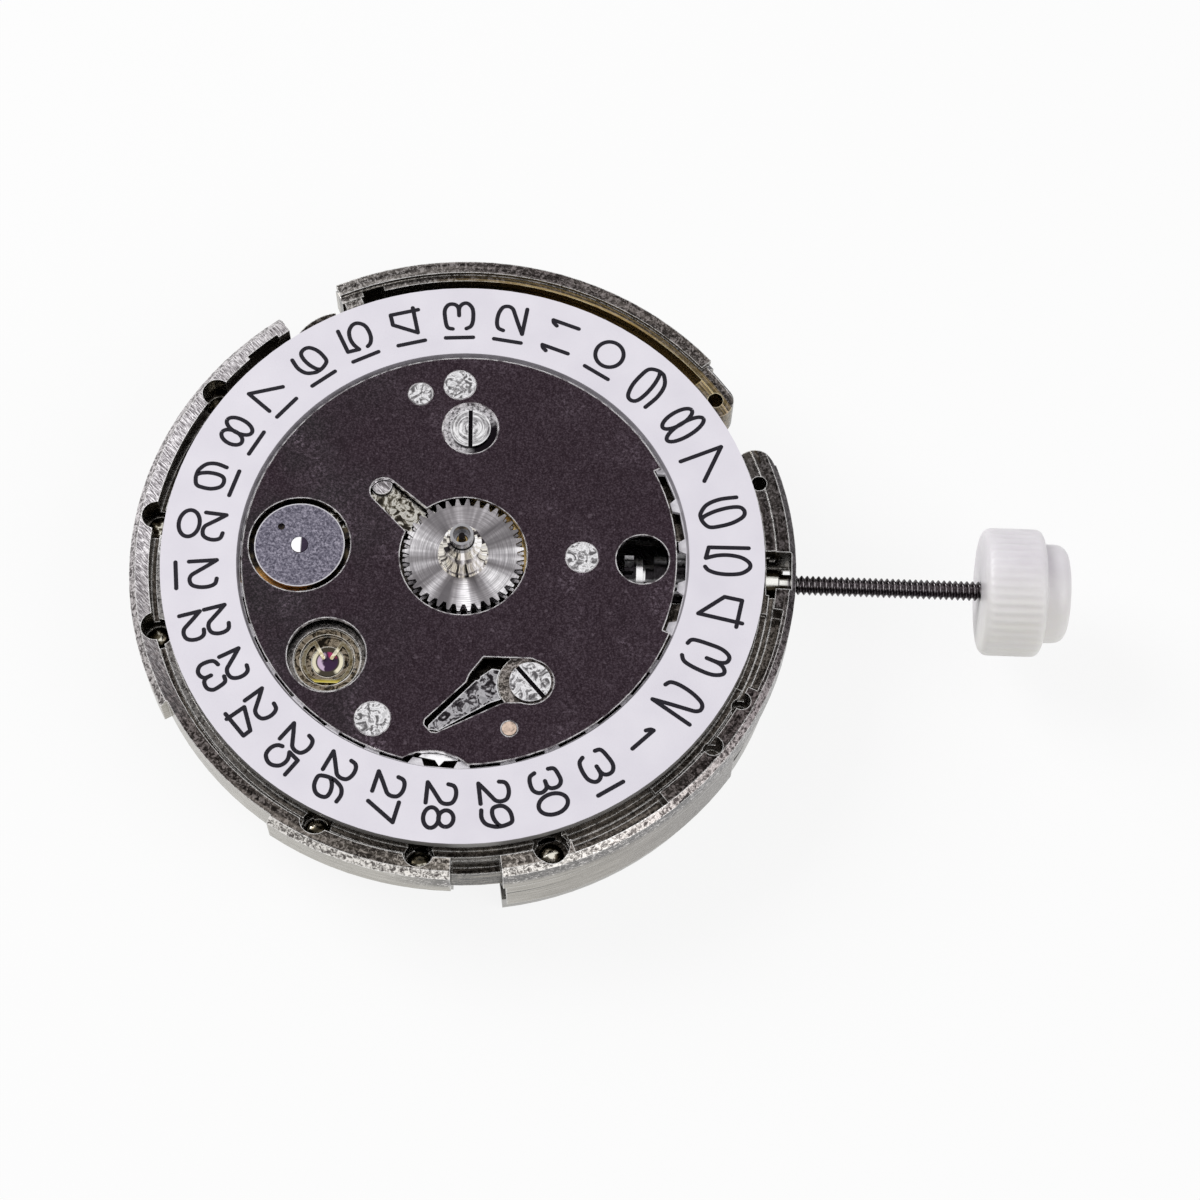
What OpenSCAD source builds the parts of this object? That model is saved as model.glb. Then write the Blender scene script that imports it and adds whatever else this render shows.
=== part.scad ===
// Automatic watch movement with a date ring, dial side up.
// Millimetres. The origin is on the hand axis at the level of the date ring's top,
// +X runs along the winding stem and +Z points to the dial.

/* [Rim] */
// Radius of the mainplate's rim
rim_r = 13.0; // [12.9:0.05:13.4]
// Depth of the rim's inner step below the date ring's top
rim_step_depth = 0.95; // [0.85:0.05:1.1]
// Depth of the rim's outer land below the date ring's top
rim_land_depth = 0.25; // [0.15:0.05:0.5]
// Depth of the rim's lower edge
rim_depth = 1.95; // [1.8:0.05:2.1]
// Width of the groove between step and land
rim_groove_w = 0.22; // [0.15:0.01:0.28]
// Width of the inner step beside the date ring
rim_step_w = 0.25; // [0.2:0.01:0.3]

/* [Date ring] */
// Outer radius of the date ring
ring_r = 11.75; // [11.6:0.05:11.8]
// Inner radius of the printed face
ring_face_r = 8.8; // [8.75:0.01:8.95]
// Thickness of the date ring
ring_thick = 0.45; // [0.4:0.01:0.5]
// Thickness of the toothed inner flange
ring_tooth_thick = 0.2; // [0.15:0.01:0.22]
// Radius at the tips of the ring's teeth
ring_tip_r = 8.42; // [8.4:0.01:8.5]

/* [Calendar plate] */
// Radius of the calendar plate
plate_r = 8.62; // [8.5:0.01:8.7]
// Radius of its relieved edge beside the stem
plate_relief_r = 8.32; // [8.2:0.01:8.4]
// Thickness of the calendar plate
plate_thick = 0.18; // [0.14:0.01:0.19]
// Depth of the calendar plate's top below the ring's top
plate_drop = 0.04; // [0.02:0.01:0.05]
// Place of the upper plate screw
screw_a = [0.03, 5.5]; // [-1:0.01:6]
// Head radius of the upper plate screw
screw_a_r = 0.8; // [0.7:0.05:0.9]
// Width of the sunk ring round that head
screw_a_sink_w = 0.3; // [0.2:0.05:0.4]
// Place of the lower plate screw
screw_b = [2.81, -5.16]; // [-6:0.01:4]
// Head radius of the lower plate screw
screw_b_r = 0.8; // [0.7:0.05:0.85]
// Width of the slots in the screw heads
screw_slot_w = 0.17; // [0.12:0.01:0.25]

/* [Hands] */
// Tip radius of the cannon pinion, the minute hand's seat
minute_seat_r = 0.45; // [0.43:0.01:0.5]
// Height of the cannon pinion's tip
minute_seat_top = 2.0; // [1.95:0.05:2.3]
// Pipe radius of the hour wheel, the hour hand's seat
hour_seat_r = 0.75; // [0.72:0.01:0.8]
// Height of the hour pipe's tip
hour_seat_top = 1.55; // [1.4:0.05:1.6]
// Radius of the seconds pivot that carries the seconds hand
seconds_seat_r = 0.12; // [0.1:0.01:0.13]
// Height of the seconds pivot
seconds_seat_top = 1.9; // [1.8:0.05:2.3]

/* [Stem and crown] */
// Depth of the stem's axis below the date ring's top
stem_depth = 1.86; // [1.8:0.01:1.9]
// Radius of the stem's thread
thread_r = 0.39; // [0.35:0.01:0.42]
// Pitch of the stem's thread
thread_pitch = 0.225; // [0.2:0.005:0.25]
// Distance of the crown's inner face from the hand axis
crown_x = 20.3; // [18:0.1:24]
// Radius of the transport crown
crown_r = 2.52; // [2:0.02:3]
// Length of the crown's ribbed barrel
crown_len = 2.66; // [2:0.02:3.5]
// Radius of the crown's end cap
crown_cap_r = 1.95; // [1.5:0.05:2.2]
// Length of the crown's end cap
crown_cap_len = 1.1; // [0.6:0.05:1.6]
// Number of ribs round the crown
crown_ribs = 44; // [30:1:60]
// Travel of the crown from winding to hand setting
crown_travel = 1.0; // [0.8:0.05:1.1]

/* [Going train] */
// Tooth module of centre wheel and third pinion
centre_module = 0.0944; // [0.092:0.0002:0.096]
// Tooth module of third wheel and seconds pinion
third_module = 0.1; // [0.099:0.0005:0.101]
// Tooth module of seconds wheel and escape pinion
seconds_module = 0.0846; // [0.0843:0.0001:0.0852]
// Tooth module of barrel and centre pinion
barrel_module = 0.144; // [0.14:0.001:0.145]
// Thickness of the train wheels
wheel_thick = 0.12; // [0.08:0.01:0.13]
// Height of the barrel drum with its cover
barrel_height = 1.03; // [0.9:0.01:1.05]
// Radius of the barrel drum
drum_r = 4.9; // [4.6:0.05:4.92]
// Wall of the barrel drum
drum_wall = 0.22; // [0.15:0.01:0.3]

/* [Balance] */
// Place of the balance staff
balance_at = [-5.04, -4.32]; // [-5.2:0.01:-4.2]
// Outer radius of the balance rim
balance_r = 4.3; // [4:0.05:4.35]
// Width of the balance rim
balance_rim_w = 0.45; // [0.3:0.05:0.6]
// Height of the balance rim
balance_rim_h = 0.34; // [0.25:0.01:0.35]
// Turns of the hairspring
hairspring_turns = 5; // [3:1:6]
// Radius where the hairspring leaves its collet
hairspring_in_r = 0.55; // [0.5:0.01:0.6]
// Pitch of the hairspring's turns
hairspring_pitch = 0.52; // [0.5:0.01:0.54]
// Radial thickness of the hairspring
hairspring_w = 0.06; // [0.04:0.01:0.08]
// Height of the hairspring's ribbon
hairspring_h = 0.12; // [0.08:0.01:0.12]

/* [Winding] */
// Distance of the crown wheel from the hand axis, along the stem
crown_wheel_x = 6.0; // [5.95:0.01:6.05]
// Tooth module of crown wheel and ratchet wheel
ratchet_module = 0.2; // [0.198:0.001:0.202]
// Radius of the winding pinion
winding_pinion_r = 1.2; // [1.18:0.01:1.22]

/* [Rotor] */
// Outer radius of the rotor
rotor_r = 12.7; // [12.2:0.05:12.9]
// Radial width of the rotor's heavy rim
rotor_rim_w = 1.95; // [1.5:0.05:2]
// Depth of the rotor's lowest face
rotor_depth = 5.65; // [5.6:0.05:6]
// Angle that the rotor's weight spans
rotor_span = 181; // [150:1:200]
// Direction in which the weight points at rest
rotor_rest_angle = 9.5; // [-30:0.5:30]
// Number of bearing balls
ball_count = 7; // [5:1:12]

/* [Clearances] */
// Gap between moving parts at different levels
level_gap = 0.08; // [0.06:0.01:0.09]
// Radial gap between a pivot and its hole
pivot_gap = 0.02; // [0.015:0.005:0.03]
// Radial gap between larger turning parts
turn_gap = 0.04; // [0.03:0.01:0.05]

/* [Hidden] */
$fn = 48;
eps = 0.01;

// Colours as the photo shows them
nickel = [0.72, 0.71, 0.68];
dark_plate = [0.22, 0.18, 0.22];
steel = [0.75, 0.76, 0.78];
gilt = [0.85, 0.68, 0.32];
brass_tone = [0.80, 0.66, 0.40];
ruby = [0.65, 0.08, 0.35];
face_white = [0.89, 0.87, 0.91];
milky = [0.93, 0.94, 0.93];
satin_blue = [0.58, 0.61, 0.68];

// Small vector helpers
function polar(r, a) = [r * cos(a), r * sin(a)];
function heading(from, to) = atan2(to[1] - from[1], to[0] - from[0]);
function gap_between(from, to) = norm(to - from);
// The point at distance reach_a from a and reach_b from b, left of the way from a to b
function triangle_point(a, b, reach_a, reach_b) =
  let (base = gap_between(a, b),
    along = (reach_a * reach_a - reach_b * reach_b + base * base) / (2 * base),
    off = sqrt(reach_a * reach_a - along * along),
    h = heading(a, b))
  a + polar(along, h) + polar(off, h + 90);
// Angle of a tooth centre on wheel b that meshes with wheel a in direction way
function mesh_phase(way, teeth_a, phase_a, teeth_b) =
  way + 180 + ((way - phase_a) * teeth_a - 180) / teeth_b;
function pitch_r(module_mm, teeth) = module_mm * teeth / 2;
function tip_r(module_mm, teeth) = module_mm * (teeth / 2 + 1);
function gear_centres(module_mm, teeth_a, teeth_b) = module_mm * (teeth_a + teeth_b) / 2;

// Tooth counts
ring_teeth = 31;
centre_teeth = 64;
third_pinion_teeth = 8;
third_teeth = 60;
seconds_pinion_teeth = 8;
seconds_teeth = 72;
escape_pinion_teeth = 6;
escape_teeth = 15;
barrel_teeth = 72;
centre_pinion_teeth = 10;
cannon_teeth = 12;
minute_teeth = 36;
minute_pinion_teeth = 9;
hour_teeth = 36;
date_idler_teeth = 36;
date_pinion_teeth = 22;
date_wheel_teeth = 44;
setting_teeth = 14;
ratchet_teeth = 44;
crown_upper_teeth = 24;
crown_lower_teeth = 36;
winding_teeth = 16;
reduction_pinion_teeth = 9;
reduction_teeth = 60;
reverser_pinion_teeth = 15;
reverser_teeth = 26;
rotor_gear_teeth = 34;

// Levels, from the dial side down
ring_seat_z = -(ring_thick + 0.04);
step_z = -rim_step_depth;
land_z = -rim_land_depth;
plate_top = -plate_drop;
plate_under = plate_top - plate_thick;
tooth_top = -(ring_thick - ring_tooth_thick);
dial_floor = -1.0;
web_thick = 0.5;
web_back = dial_floor - web_thick;
centre_top = web_back - level_gap;
drum_top = centre_top - wheel_thick - level_gap;
drum_under = drum_top - barrel_height;
seconds_top = drum_under - level_gap;
rim_top = seconds_top - wheel_thick - level_gap;
third_top = rim_top - 0.11;
bridge_under = third_top - wheel_thick - level_gap - 0.09;
bridge_thick = 0.7;
bridge_back = bridge_under - bridge_thick;
ratchet_thick = 0.19;
ratchet_top = bridge_back - level_gap;
ratchet_under = ratchet_top - ratchet_thick;
reduction_top = ratchet_under - level_gap - 0.06;
reverser_thick = 0.12;
reverser_top = reduction_top - reverser_thick - level_gap;
reverser_under = reverser_top - reverser_thick;
auto_top = reverser_under - level_gap;
auto_thick = 0.18;
auto_under = auto_top - auto_thick;
carrier_top = auto_under - level_gap;
carrier_thick = 0.16;
rotor_under = -rotor_depth;
stem_z = -stem_depth;
escape_top = drum_top - 0.5;
escape_under = escape_top - wheel_thick;
pallet_bridge_top = escape_under - 0.15;
pallet_bridge_thick = 0.28;

// Motion works levels
finger_top = plate_under - 0.04;
finger_thick = 0.13;
idler_top = finger_top - finger_thick - 0.05;
idler_thick = 0.1;
date_gear_top = idler_top - idler_thick - level_gap;
date_gear_thick = 0.14;
hour_disc_top = 0.05;
hour_disc_thick = 0.13;
hour_gear_under = idler_top - idler_thick;
cannon_leaf_top = hour_gear_under - 0.05;
cannon_leaf_under = dial_floor + 0.12;
minute_top = cannon_leaf_top - 0.03;
minute_under = cannon_leaf_under + 0.04;

// Places of the wheels
centre = [0, 0];
centre_distance = gear_centres(centre_module, centre_teeth, third_pinion_teeth);
third_angle = -40;
third_at = polar(centre_distance, third_angle);
seconds_module_fit = third_module * centre_distance
  / gear_centres(third_module, third_teeth, seconds_pinion_teeth);
escape_distance = gear_centres(seconds_module, seconds_teeth, escape_pinion_teeth);
escape_angle = -100.5;
escape_at = polar(escape_distance, escape_angle);
barrel_distance = gear_centres(barrel_module, barrel_teeth, centre_pinion_teeth);
crown_wheel_at = [crown_wheel_x, 0];
ratchet_distance = gear_centres(ratchet_module, ratchet_teeth, crown_upper_teeth);
barrel_at = triangle_point(centre, crown_wheel_at, barrel_distance, ratchet_distance);
reduction_distance = gear_centres(ratchet_module, ratchet_teeth, reduction_pinion_teeth);
reduction_at = barrel_at + polar(reduction_distance, 193.3);
auto_module = 0.08;
reverser_reach = gear_centres(auto_module, reduction_teeth, reverser_pinion_teeth);
reverser_module = 0.1;
rotor_reach = gear_centres(reverser_module, rotor_gear_teeth, reverser_teeth);
reverser_a_at = triangle_point(centre, reduction_at, rotor_reach, reverser_reach);
reverser_pair = pitch_r(reverser_module, 2 * reverser_teeth);
reverser_b_at = triangle_point(reverser_a_at, reduction_at, reverser_pair, reverser_reach);

hour_module = 0.125;
minute_distance = gear_centres(hour_module, hour_teeth, minute_pinion_teeth);
cannon_module = 2 * minute_distance / (cannon_teeth + minute_teeth);
setting_at = [4.62, 0.1];
setting_reach = gear_centres(cannon_module, minute_teeth, setting_teeth);
minute_at = triangle_point(centre, setting_at, minute_distance, setting_reach);
date_idler_distance = gear_centres(hour_module, hour_teeth, date_idler_teeth);
date_idler_at = polar(date_idler_distance, 138);
date_wheel_at = [-6.385, 0.24];
date_module = 2 * gap_between(date_idler_at, date_wheel_at)
  / (date_pinion_teeth + date_wheel_teeth);

// Escapement places: escape wheel, pallet fork and balance stand on one line
escape_r = 1.85;
pallet_line = heading(escape_at, balance_at);
pallet_at = escape_at + polar(escape_r / cos(30), pallet_line);
pallet_reach = gap_between(pallet_at, balance_at);
impulse_r = 0.5;

// Pivots, arbors and jewels
pivot_r = 0.09;
arbor_r = 0.16;
jewel_r = 0.52;
jewel_thick = 0.24;

// Keyless works along the stem
shoulder_r = 0.58;
stem_seat_r = 0.46;
stem_square = 0.62;
pilot_r = 0.26;
winding_x0 = 8.0;
winding_x1 = 9.2;
sliding_x0 = 6.3;
sliding_x1 = winding_x0 - 0.06;
groove_x0 = 9.75;
groove_x1 = 10.45;
groove_r = 0.34;
corridor_half = winding_pinion_r + 0.12;
lever_pin_at = [(groove_x0 + groove_x1) / 2, -0.56];
// Half the travel before and half after the line square to the stem
lever_pivot = [lever_pin_at[0] + crown_travel / 2, -2.6];
lever_tail = lever_pivot + [-0.9, -0.6];
yoke_pivot = [6.9, -4.0];
lever_spring_path = [[6.3, -5.6], [8.6, -4.7], lever_tail + [0.05, -0.46]];
yoke_pin_at = [sliding_x0 + 0.95, -0.72];
yoke_pin_r = 0.09;
lever_pin_r = 0.14;

// Basic solids
module at(place, z) {
  translate([place[0], place[1], z]) children();
}
module disc(r, z_top, z_under) {
  translate([0, 0, z_under]) cylinder(r = r, h = z_top - z_under);
}
module tube(r_out, r_in, z_top, z_under) {
  difference() {
    disc(r_out, z_top, z_under);
    disc(r_in, z_top + 1, z_under - 1);
  }
}
module slab(z_top, z_under) {
  translate([0, 0, z_under]) linear_extrude(height = z_top - z_under) children();
}
// Flat shape between two directions, as far as r
module wedge_2d(r, a0, a1) {
  mid = (a0 + a1) / 2;
  polygon([[0, 0], polar(r, a0), polar(r * 1.2, mid), polar(r, a1)]);
}
module sector(r_out, r_in, a0, a1, z_top, z_under) {
  intersection() {
    tube(r_out, r_in, z_top, z_under);
    slab(z_top + 1, z_under - 1) wedge_2d(r_out * 1.6, a0, a1);
  }
}
// Bar with round ends
module bar_2d(a, b, half_w) {
  side = polar(half_w, heading(a, b) + 90);
  translate(a) circle(r = half_w);
  translate(b) circle(r = half_w);
  polygon([a + side, a - side, b - side, b + side]);
}
module path_2d(points, half_w) {
  for (i = [0 : len(points) - 2])
    bar_2d(points[i], points[i + 1], half_w);
}
// Straight-sided teeth with some backlash
module gear_2d(module_mm, teeth, phase) {
  pitch = 360 / teeth;
  root = module_mm * (teeth / 2 - 1.2);
  tip = module_mm * (teeth / 2 + 0.95);
  polygon([for (i = [0 : teeth - 1])
    let (a = phase + i * pitch)
    each [polar(root, a - 0.33 * pitch), polar(tip, a - 0.12 * pitch),
       polar(tip, a + 0.12 * pitch), polar(root, a + 0.33 * pitch)]]);
}
module gear(module_mm, teeth, phase, z_top, z_under) {
  slab(z_top, z_under) gear_2d(module_mm, teeth, phase);
}
// Windows that leave spokes in a wheel
module windows(r_out, r_in, count, spoke_w, z_top, z_under) {
  for (i = [0 : count - 1])
    rotate([0, 0, i * 360 / count])
      difference() {
        sector(r_out, r_in, 0, 360 / count, z_top, z_under);
        translate([0, -spoke_w / 2, z_under - 1])
          cube([r_out + 1, spoke_w, z_top - z_under + 2]);
        rotate([0, 0, 360 / count])
          translate([0, -spoke_w / 2, z_under - 1])
            cube([r_out + 1, spoke_w, z_top - z_under + 2]);
      }
}
module spoked_gear(module_mm, teeth, phase, z_top, z_under, hub_r, rim_w, spokes) {
  difference() {
    gear(module_mm, teeth, phase, z_top, z_under);
    windows(module_mm * (teeth / 2 - 1.2) - rim_w, hub_r, spokes, 0.32,
      z_top + 0.1, z_under - 0.1);
  }
}
shank_r = 0.4;
module slotted_head(r, z_top, thick, slot_w, slot_angle) {
  difference() {
    disc(r, z_top, z_top - thick);
    rotate([0, 0, slot_angle])
      translate([-r - 1, -slot_w / 2, z_top - thick * 0.45])
        cube([2 * r + 2, slot_w, thick]);
  }
}
// The same head seen from the back
module back_screw(r, z_under, shank_r, shank_len, slot_angle) {
  head = 0.3;
  difference() {
    disc(r, z_under + head, z_under);
    rotate([0, 0, slot_angle])
      translate([-r - 1, -screw_slot_w / 2, z_under - 1])
        cube([2 * r + 2, screw_slot_w, 1.13]);
  }
  disc(shank_r, z_under + head + shank_len, z_under + head - eps);
}
// Flat ribbon swept round a spiral as one closed tube of six sides
function spiral_r(t, r0, pitch) = r0 + pitch * t;
function ribbon_ring(c, out, w, h, z) = [
  [c[0] + out[0] * w / 2, c[1] + out[1] * w / 2, z + h * 0.3],
  [c[0], c[1], z + h / 2],
  [c[0] - out[0] * w / 2, c[1] - out[1] * w / 2, z + h * 0.3],
  [c[0] - out[0] * w / 2, c[1] - out[1] * w / 2, z - h * 0.3],
  [c[0], c[1], z - h / 2],
  [c[0] + out[0] * w / 2, c[1] + out[1] * w / 2, z - h * 0.3]];
module spiral_ribbon(turns, r0, pitch, w, h, z, start) {
  rings = turns * 24;
  points = [for (i = [0 : rings])
    let (a = start + i * 15, r = spiral_r(i / 24, r0, pitch))
    each ribbon_ring(polar(r, a), polar(1, a), w, h, z)];
  sides = [for (i = [0 : rings - 1])
    for (k = [0 : 5])
      let (a = i * 6 + k, b = i * 6 + (k + 1) % 6)
      each [[a, b, b + 6], [a, b + 6, a + 6]]];
  first = [for (k = [1 : 4]) [0, k + 1, k]];
  last = [for (k = [1 : 4]) [rings * 6, rings * 6 + k, rings * 6 + k + 1]];
  polyhedron(points = points, faces = concat(sides, first, last));
}
// Least gap of a spiral to itself, measured on its points
function spiral_gap(turns, r0, pitch, w) =
  min([for (i = [0 : (turns - 1) * 24])
    norm(polar(spiral_r(i / 24 + 1, r0, pitch), i * 15)
      - polar(spiral_r(i / 24, r0, pitch), i * 15)) - w]);
echo(hairspring_least_gap =
  spiral_gap(hairspring_turns, hairspring_in_r, hairspring_pitch, hairspring_w));
echo(mainspring_least_gap =
  spiral_gap(mainspring_turns, mainspring_in_r, mainspring_pitch, mainspring_w));

// Rim features, as directions round the hand axis
notch_top = [116.2, 127.6];
notch_low = [-89.5, -80.8];
notch_right = [25, 30.5];
bite_ring = ring_r + 0.4;
bites = [[bite_ring + 0.05, 146.2], [bite_ring, 173.5], [bite_ring, -164.3],
  [bite_ring - 0.15, -114.9], [bite_ring - 0.05, -95.3]];
bite_r = 0.57;
rim_in_r = ring_r + rim_step_w;
land_in_r = rim_in_r + rim_groove_w;
wall_r = rim_r - 0.7;
wall_in_r = ring_r - 0.15;

// Screw places
bridge_screw_places = [[-6.0, 10.0], [8.25, 7.15], [-11.0, 3.6], [10.2, -4.6], [2.2, -10.9], [-10.4, -1.2]];
bridge_screw_r = 0.75;
auto_feet = [[-7.9, 5.0], [-3.9, 8.6], [3.3, -3.7]];
plate_posts = [[[-2.02, 6.94], 0.47], [[-0.48, 7.39], 0.62], [[-3.12, -6.87], 0.67], [[4.62, 0.1], 0.62]];
jumper_pivot = [2.09, -7.09];
dial_foot_places = [[rim_r - 0.9, 36.6], [rim_r - 0.95, 17.5]];
dial_foot_r = 0.3;

// The calendar plate's cutouts
date_window_r = 1.98;
date_pin_r = 0.32;
shock_window_r = 1.52;
hour_window_r = tip_r(hour_module, hour_teeth) + 0.1;
pinion_window = [6.98, 0.1];
pinion_window_r = 1.03;

// Places that carry a jewel on the mainplate or a bridge
lower_jewels = [third_at, escape_at, pallet_at];
upper_jewels = [centre, third_at, escape_at];

// Half section of web, ring seat, rim and back wall, turned into one body
module plate_profile() {
  ring_edge = ring_face_r + 0.15;
  polygon([[0, web_back], [wall_in_r, web_back], [wall_in_r, bridge_under], [wall_r, bridge_under],
    [wall_r, -rim_depth], [rim_r, -rim_depth], [rim_r, land_z - 0.25], [rim_r - 0.25, land_z],
    [land_in_r, land_z], [land_in_r, step_z - 0.3], [rim_in_r, step_z - 0.3], [rim_in_r, step_z],
    [ring_r, step_z], [ring_r, ring_seat_z], [ring_edge, ring_seat_z], [ring_edge, dial_floor],
    [0, dial_floor]]);
}
module mainplate_body() {
  rotate_extrude($fn = 120) plate_profile();
  // Deeper rim on the lower right
  sector(rim_r - 0.04, wall_r - 0.2, notch_low[1] + 0.5, -34, -rim_depth + 0.1, bridge_under + 0.2);
  sector(rim_r - 0.04, wall_r + 0.1, notch_low[1] + 0.5, -34, -rim_depth, bridge_back);
  // Raised wall of the rim at 12 o'clock
  sector(rim_r, wall_r + 0.2, 43, 116, -0.05, land_z - 0.1);
  sector(wall_r + 0.3, ring_r + 0.08, 112.4, 115.8, land_z - 0.06, step_z - 0.4);
  // Flat of the rim over the stem side, which holds the dial's feet
  sector(land_in_r + 0.1, ring_r + 0.05, 3.5, 41.5, land_z - 0.03, step_z - 0.4);
  // Pads that carry the calendar plate
  for (p = [screw_a, screw_b])
    at(p, 0) disc(1.25, plate_under, dial_floor - eps);
  at(jumper_pivot, 0) disc(0.5, plate_under - 0.22, dial_floor - eps);
  for (i = [0 : 2])
    at(plate_posts[i][0], 0) disc(plate_posts[i][1] + 0.12, plate_under, dial_floor - eps);
  // Boss that holds the balance's shock setting
  at(balance_at, 0) disc(1.85, -0.55, dial_floor - eps);
  // Pillars under the ends of the bridges
  for (p = bridge_screw_places)
    at(p, 0) disc(1.05, web_back + eps, bridge_under);
  // Block round the stem
  intersection() {
    translate([9.45, -1.9, stem_z - 0.85]) cube([rim_r, 3.8, 1.4]);
    disc(rim_r - 0.4, 0, -6);
  }
  // Studs for setting wheel, minute wheel, date idler and date wheel
  at(setting_at, 0) disc(0.3, plate_under, dial_floor - eps);
  at(minute_at, 0) disc(0.22, minute_top + 0.1, dial_floor - eps);
  at(date_idler_at, 0) disc(0.4, plate_under - 0.06, dial_floor - eps);
  at(date_wheel_at, 0) disc(date_pin_r, plate_top - 0.02, dial_floor - eps);
  // Studs for setting lever and yoke
  at(lever_pivot, 0) disc(0.35, dial_floor + 0.28, dial_floor - eps);
  at(yoke_pivot, 0) disc(0.35, dial_floor + 0.28, dial_floor - eps);
}
module mainplate_cuts() {
  // Notches through the rim
  sector(rim_r + 1, ring_r + 0.4, notch_top[0], notch_top[1], 1, -rim_depth - 0.1);
  sector(rim_r + 1, ring_r + 0.3, notch_low[0], notch_low[1], 1, -rim_depth - 0.1);
  sector(rim_r + 1, ring_r, notch_right[0], notch_right[1], 1, bridge_under - 1);
  // Rounded tab and rounded corner on either side of the right notch
  difference() {
    sector(rim_r + 1, ring_r, 30, 42.2, 1, -rim_depth - 0.1);
    at(polar(dial_foot_places[0][0], dial_foot_places[0][1]), 0) disc(0.74, 2, -3);
    sector(rim_r - 0.17, ring_r - 1, 36.6, 44, 2, -3);
  }
  difference() {
    sector(rim_r + 1, ring_r, 20.5, 25.2, 1, -rim_depth - 0.1);
    at(polar(rim_r - 0.9, 20.5), 0) disc(0.83, 2, -3);
  }
  // Pocket beside the ring next to the upper notch
  sector(wall_r + 0.06, ring_r, 130, 137, 1, -1.5);
  // Flat cut on the lower left of the rim
  sector(rim_r + 1, rim_r - 0.3, -150, -122, 1, -rim_depth - 0.1);
  // Round bites beside the date ring
  for (b = bites)
    at(polar(b[0], b[1]), 0) disc(bite_r, 1, -1.75);
  // Arch over the stem, ribbed pocket and pockets on the stem side
  translate([ring_r + 0.1, -0.85, stem_z]) cube([0.95, 1.55, 3]);
  sector(rim_r - 0.4, ring_r, -24, -8, 1, step_z - 0.25);
  sector(rim_r - 0.25, ring_r, -68, -50, 1, step_z - 0.25);
  at(polar(rim_r - 0.75, -27), 0) disc(0.35, 1, -1.8);
  at(polar(rim_r - 0.67, -37), 0) disc(0.38, 1, -1.8);
  at(polar(rim_r - 0.8, -71.6), 0) disc(0.7, 1, -1.8);
  sector(rim_r - 0.55, ring_r, 107.8, 111.9, 1, -1.6);
  // Holes for the dial's feet
  for (h = dial_foot_places)
    at(polar(h[0], h[1]), 0) disc(dial_foot_r, 1, -rim_depth + 0.3);
  // Bore for the centre tube
  disc(centre_tube_r, 0, -3);
  // Recess for the cannon pinion
  disc(tip_r(cannon_module, cannon_teeth) + 0.15, 0, dial_floor - 0.1);
  // Pocket for the date driving wheel under the date ring
  at(date_wheel_at, 0)
    difference() {
      disc(date_module * (date_wheel_teeth / 2 + 1) + 0.12, 0, dial_floor);
      disc(date_pin_r, 1, dial_floor - 1);
    }
  // Seat of the shock setting, through to the balance
  at(balance_at, 0) {
    disc(shock_r, 0, -1.3);
    disc(0.6, 0, -3);
  }
  // Corridor for the pinions on the stem
  translate([5.0, -corridor_half, -3]) cube([9.3 - 5.0, 2 * corridor_half, 3]);
  // Recess for the setting lever and the yoke
  slab(0.1, dial_floor)
    intersection() {
      translate([8.5, -3.6]) square([3.4, 3.6]);
      circle(r = ring_r - 0.2);
    }
  slab(0.1, dial_floor) {
    path_2d(lever_spring_path, 0.4);
    bar_2d(lever_pivot, lever_tail, 0.45);
  }
  // Stem bore
  translate([9, 0, stem_z]) rotate([0, 90, 0]) cylinder(r = shoulder_r + turn_gap, h = 6);
  // Slot through which the setting lever's pin reaches the stem
  translate([9.55, -1.0, stem_z]) cube([2.1, 1.3, 1.5]);
  // Jewel seats
  for (p = lower_jewels)
    at(p, 0) disc(jewel_r, 0, -3);
  // Pivot hole of the barrel arbor
  at(barrel_at, 0) disc(barrel_pivot_r + turn_gap, 0, -3);
  // Threads of bridge screws
  for (p = bridge_screw_places)
    at(p, 0) disc(0.35, bridge_under + 0.9, bridge_under - 1);
  // Round room for the balance and the drum inside the wall
  at(balance_at, 0) disc(balance_r + 0.25, web_back - 0.9, -6);
  at(barrel_at, 0) disc(drum_teeth_r + 0.15, web_back - 0.12, bridge_under - 1);
  at(crown_wheel_at, 0) disc(tip_r(crown_lower_module, crown_lower_teeth) + 0.15, web_back - 1.2, -6);
}
sleeve_in_r = seconds_seat_r + 0.03;
sleeve_r = 0.21;
centre_tube_in_r = sleeve_r + pivot_gap;
centre_tube_r = 0.29;
centre_tube_top = 1.1;
sleeve_top = centre_tube_top + 0.35;
// Open mouth of the cannon pinion above the hollow arbor
mouth_r = minute_seat_r - 0.11;
shock_r = 1.3;
barrel_pivot_r = 0.5;
drum_teeth_r = tip_r(barrel_module, barrel_teeth);
crown_lower_module = 2 * ((winding_x0 + winding_x1) / 2 - crown_wheel_x) / crown_lower_teeth;

module mainplate() {
  color(nickel) {
    difference() {
      mainplate_body();
      mainplate_cuts();
    }
    // Low round boss in the upper notch
    intersection() {
      at(polar(rim_r - 2.56, 120.8), 0) disc(2.1, -1.15, -rim_depth + 0.06);
      sector(rim_r, ring_r - 0.1, 117.6, 127, 1, -3);
    }
  }
}

module centre_tube() {
  color(steel)
    difference() {
      disc(centre_tube_r, centre_tube_top, web_back);
      disc(centre_tube_in_r, 5, -5);
    }
}

module ring_jewel(z_top) {
  tube(jewel_r, pivot_r + pivot_gap, z_top, z_top - jewel_thick);
}
module train_jewels() {
  color(ruby) {
    for (p = lower_jewels)
      at(p, 0) ring_jewel(web_back + jewel_thick);
    for (p = upper_jewels)
      at(p, 0) ring_jewel(bridge_under);
    at(pallet_at, 0) ring_jewel(pallet_bridge_top);
  }
}

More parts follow.
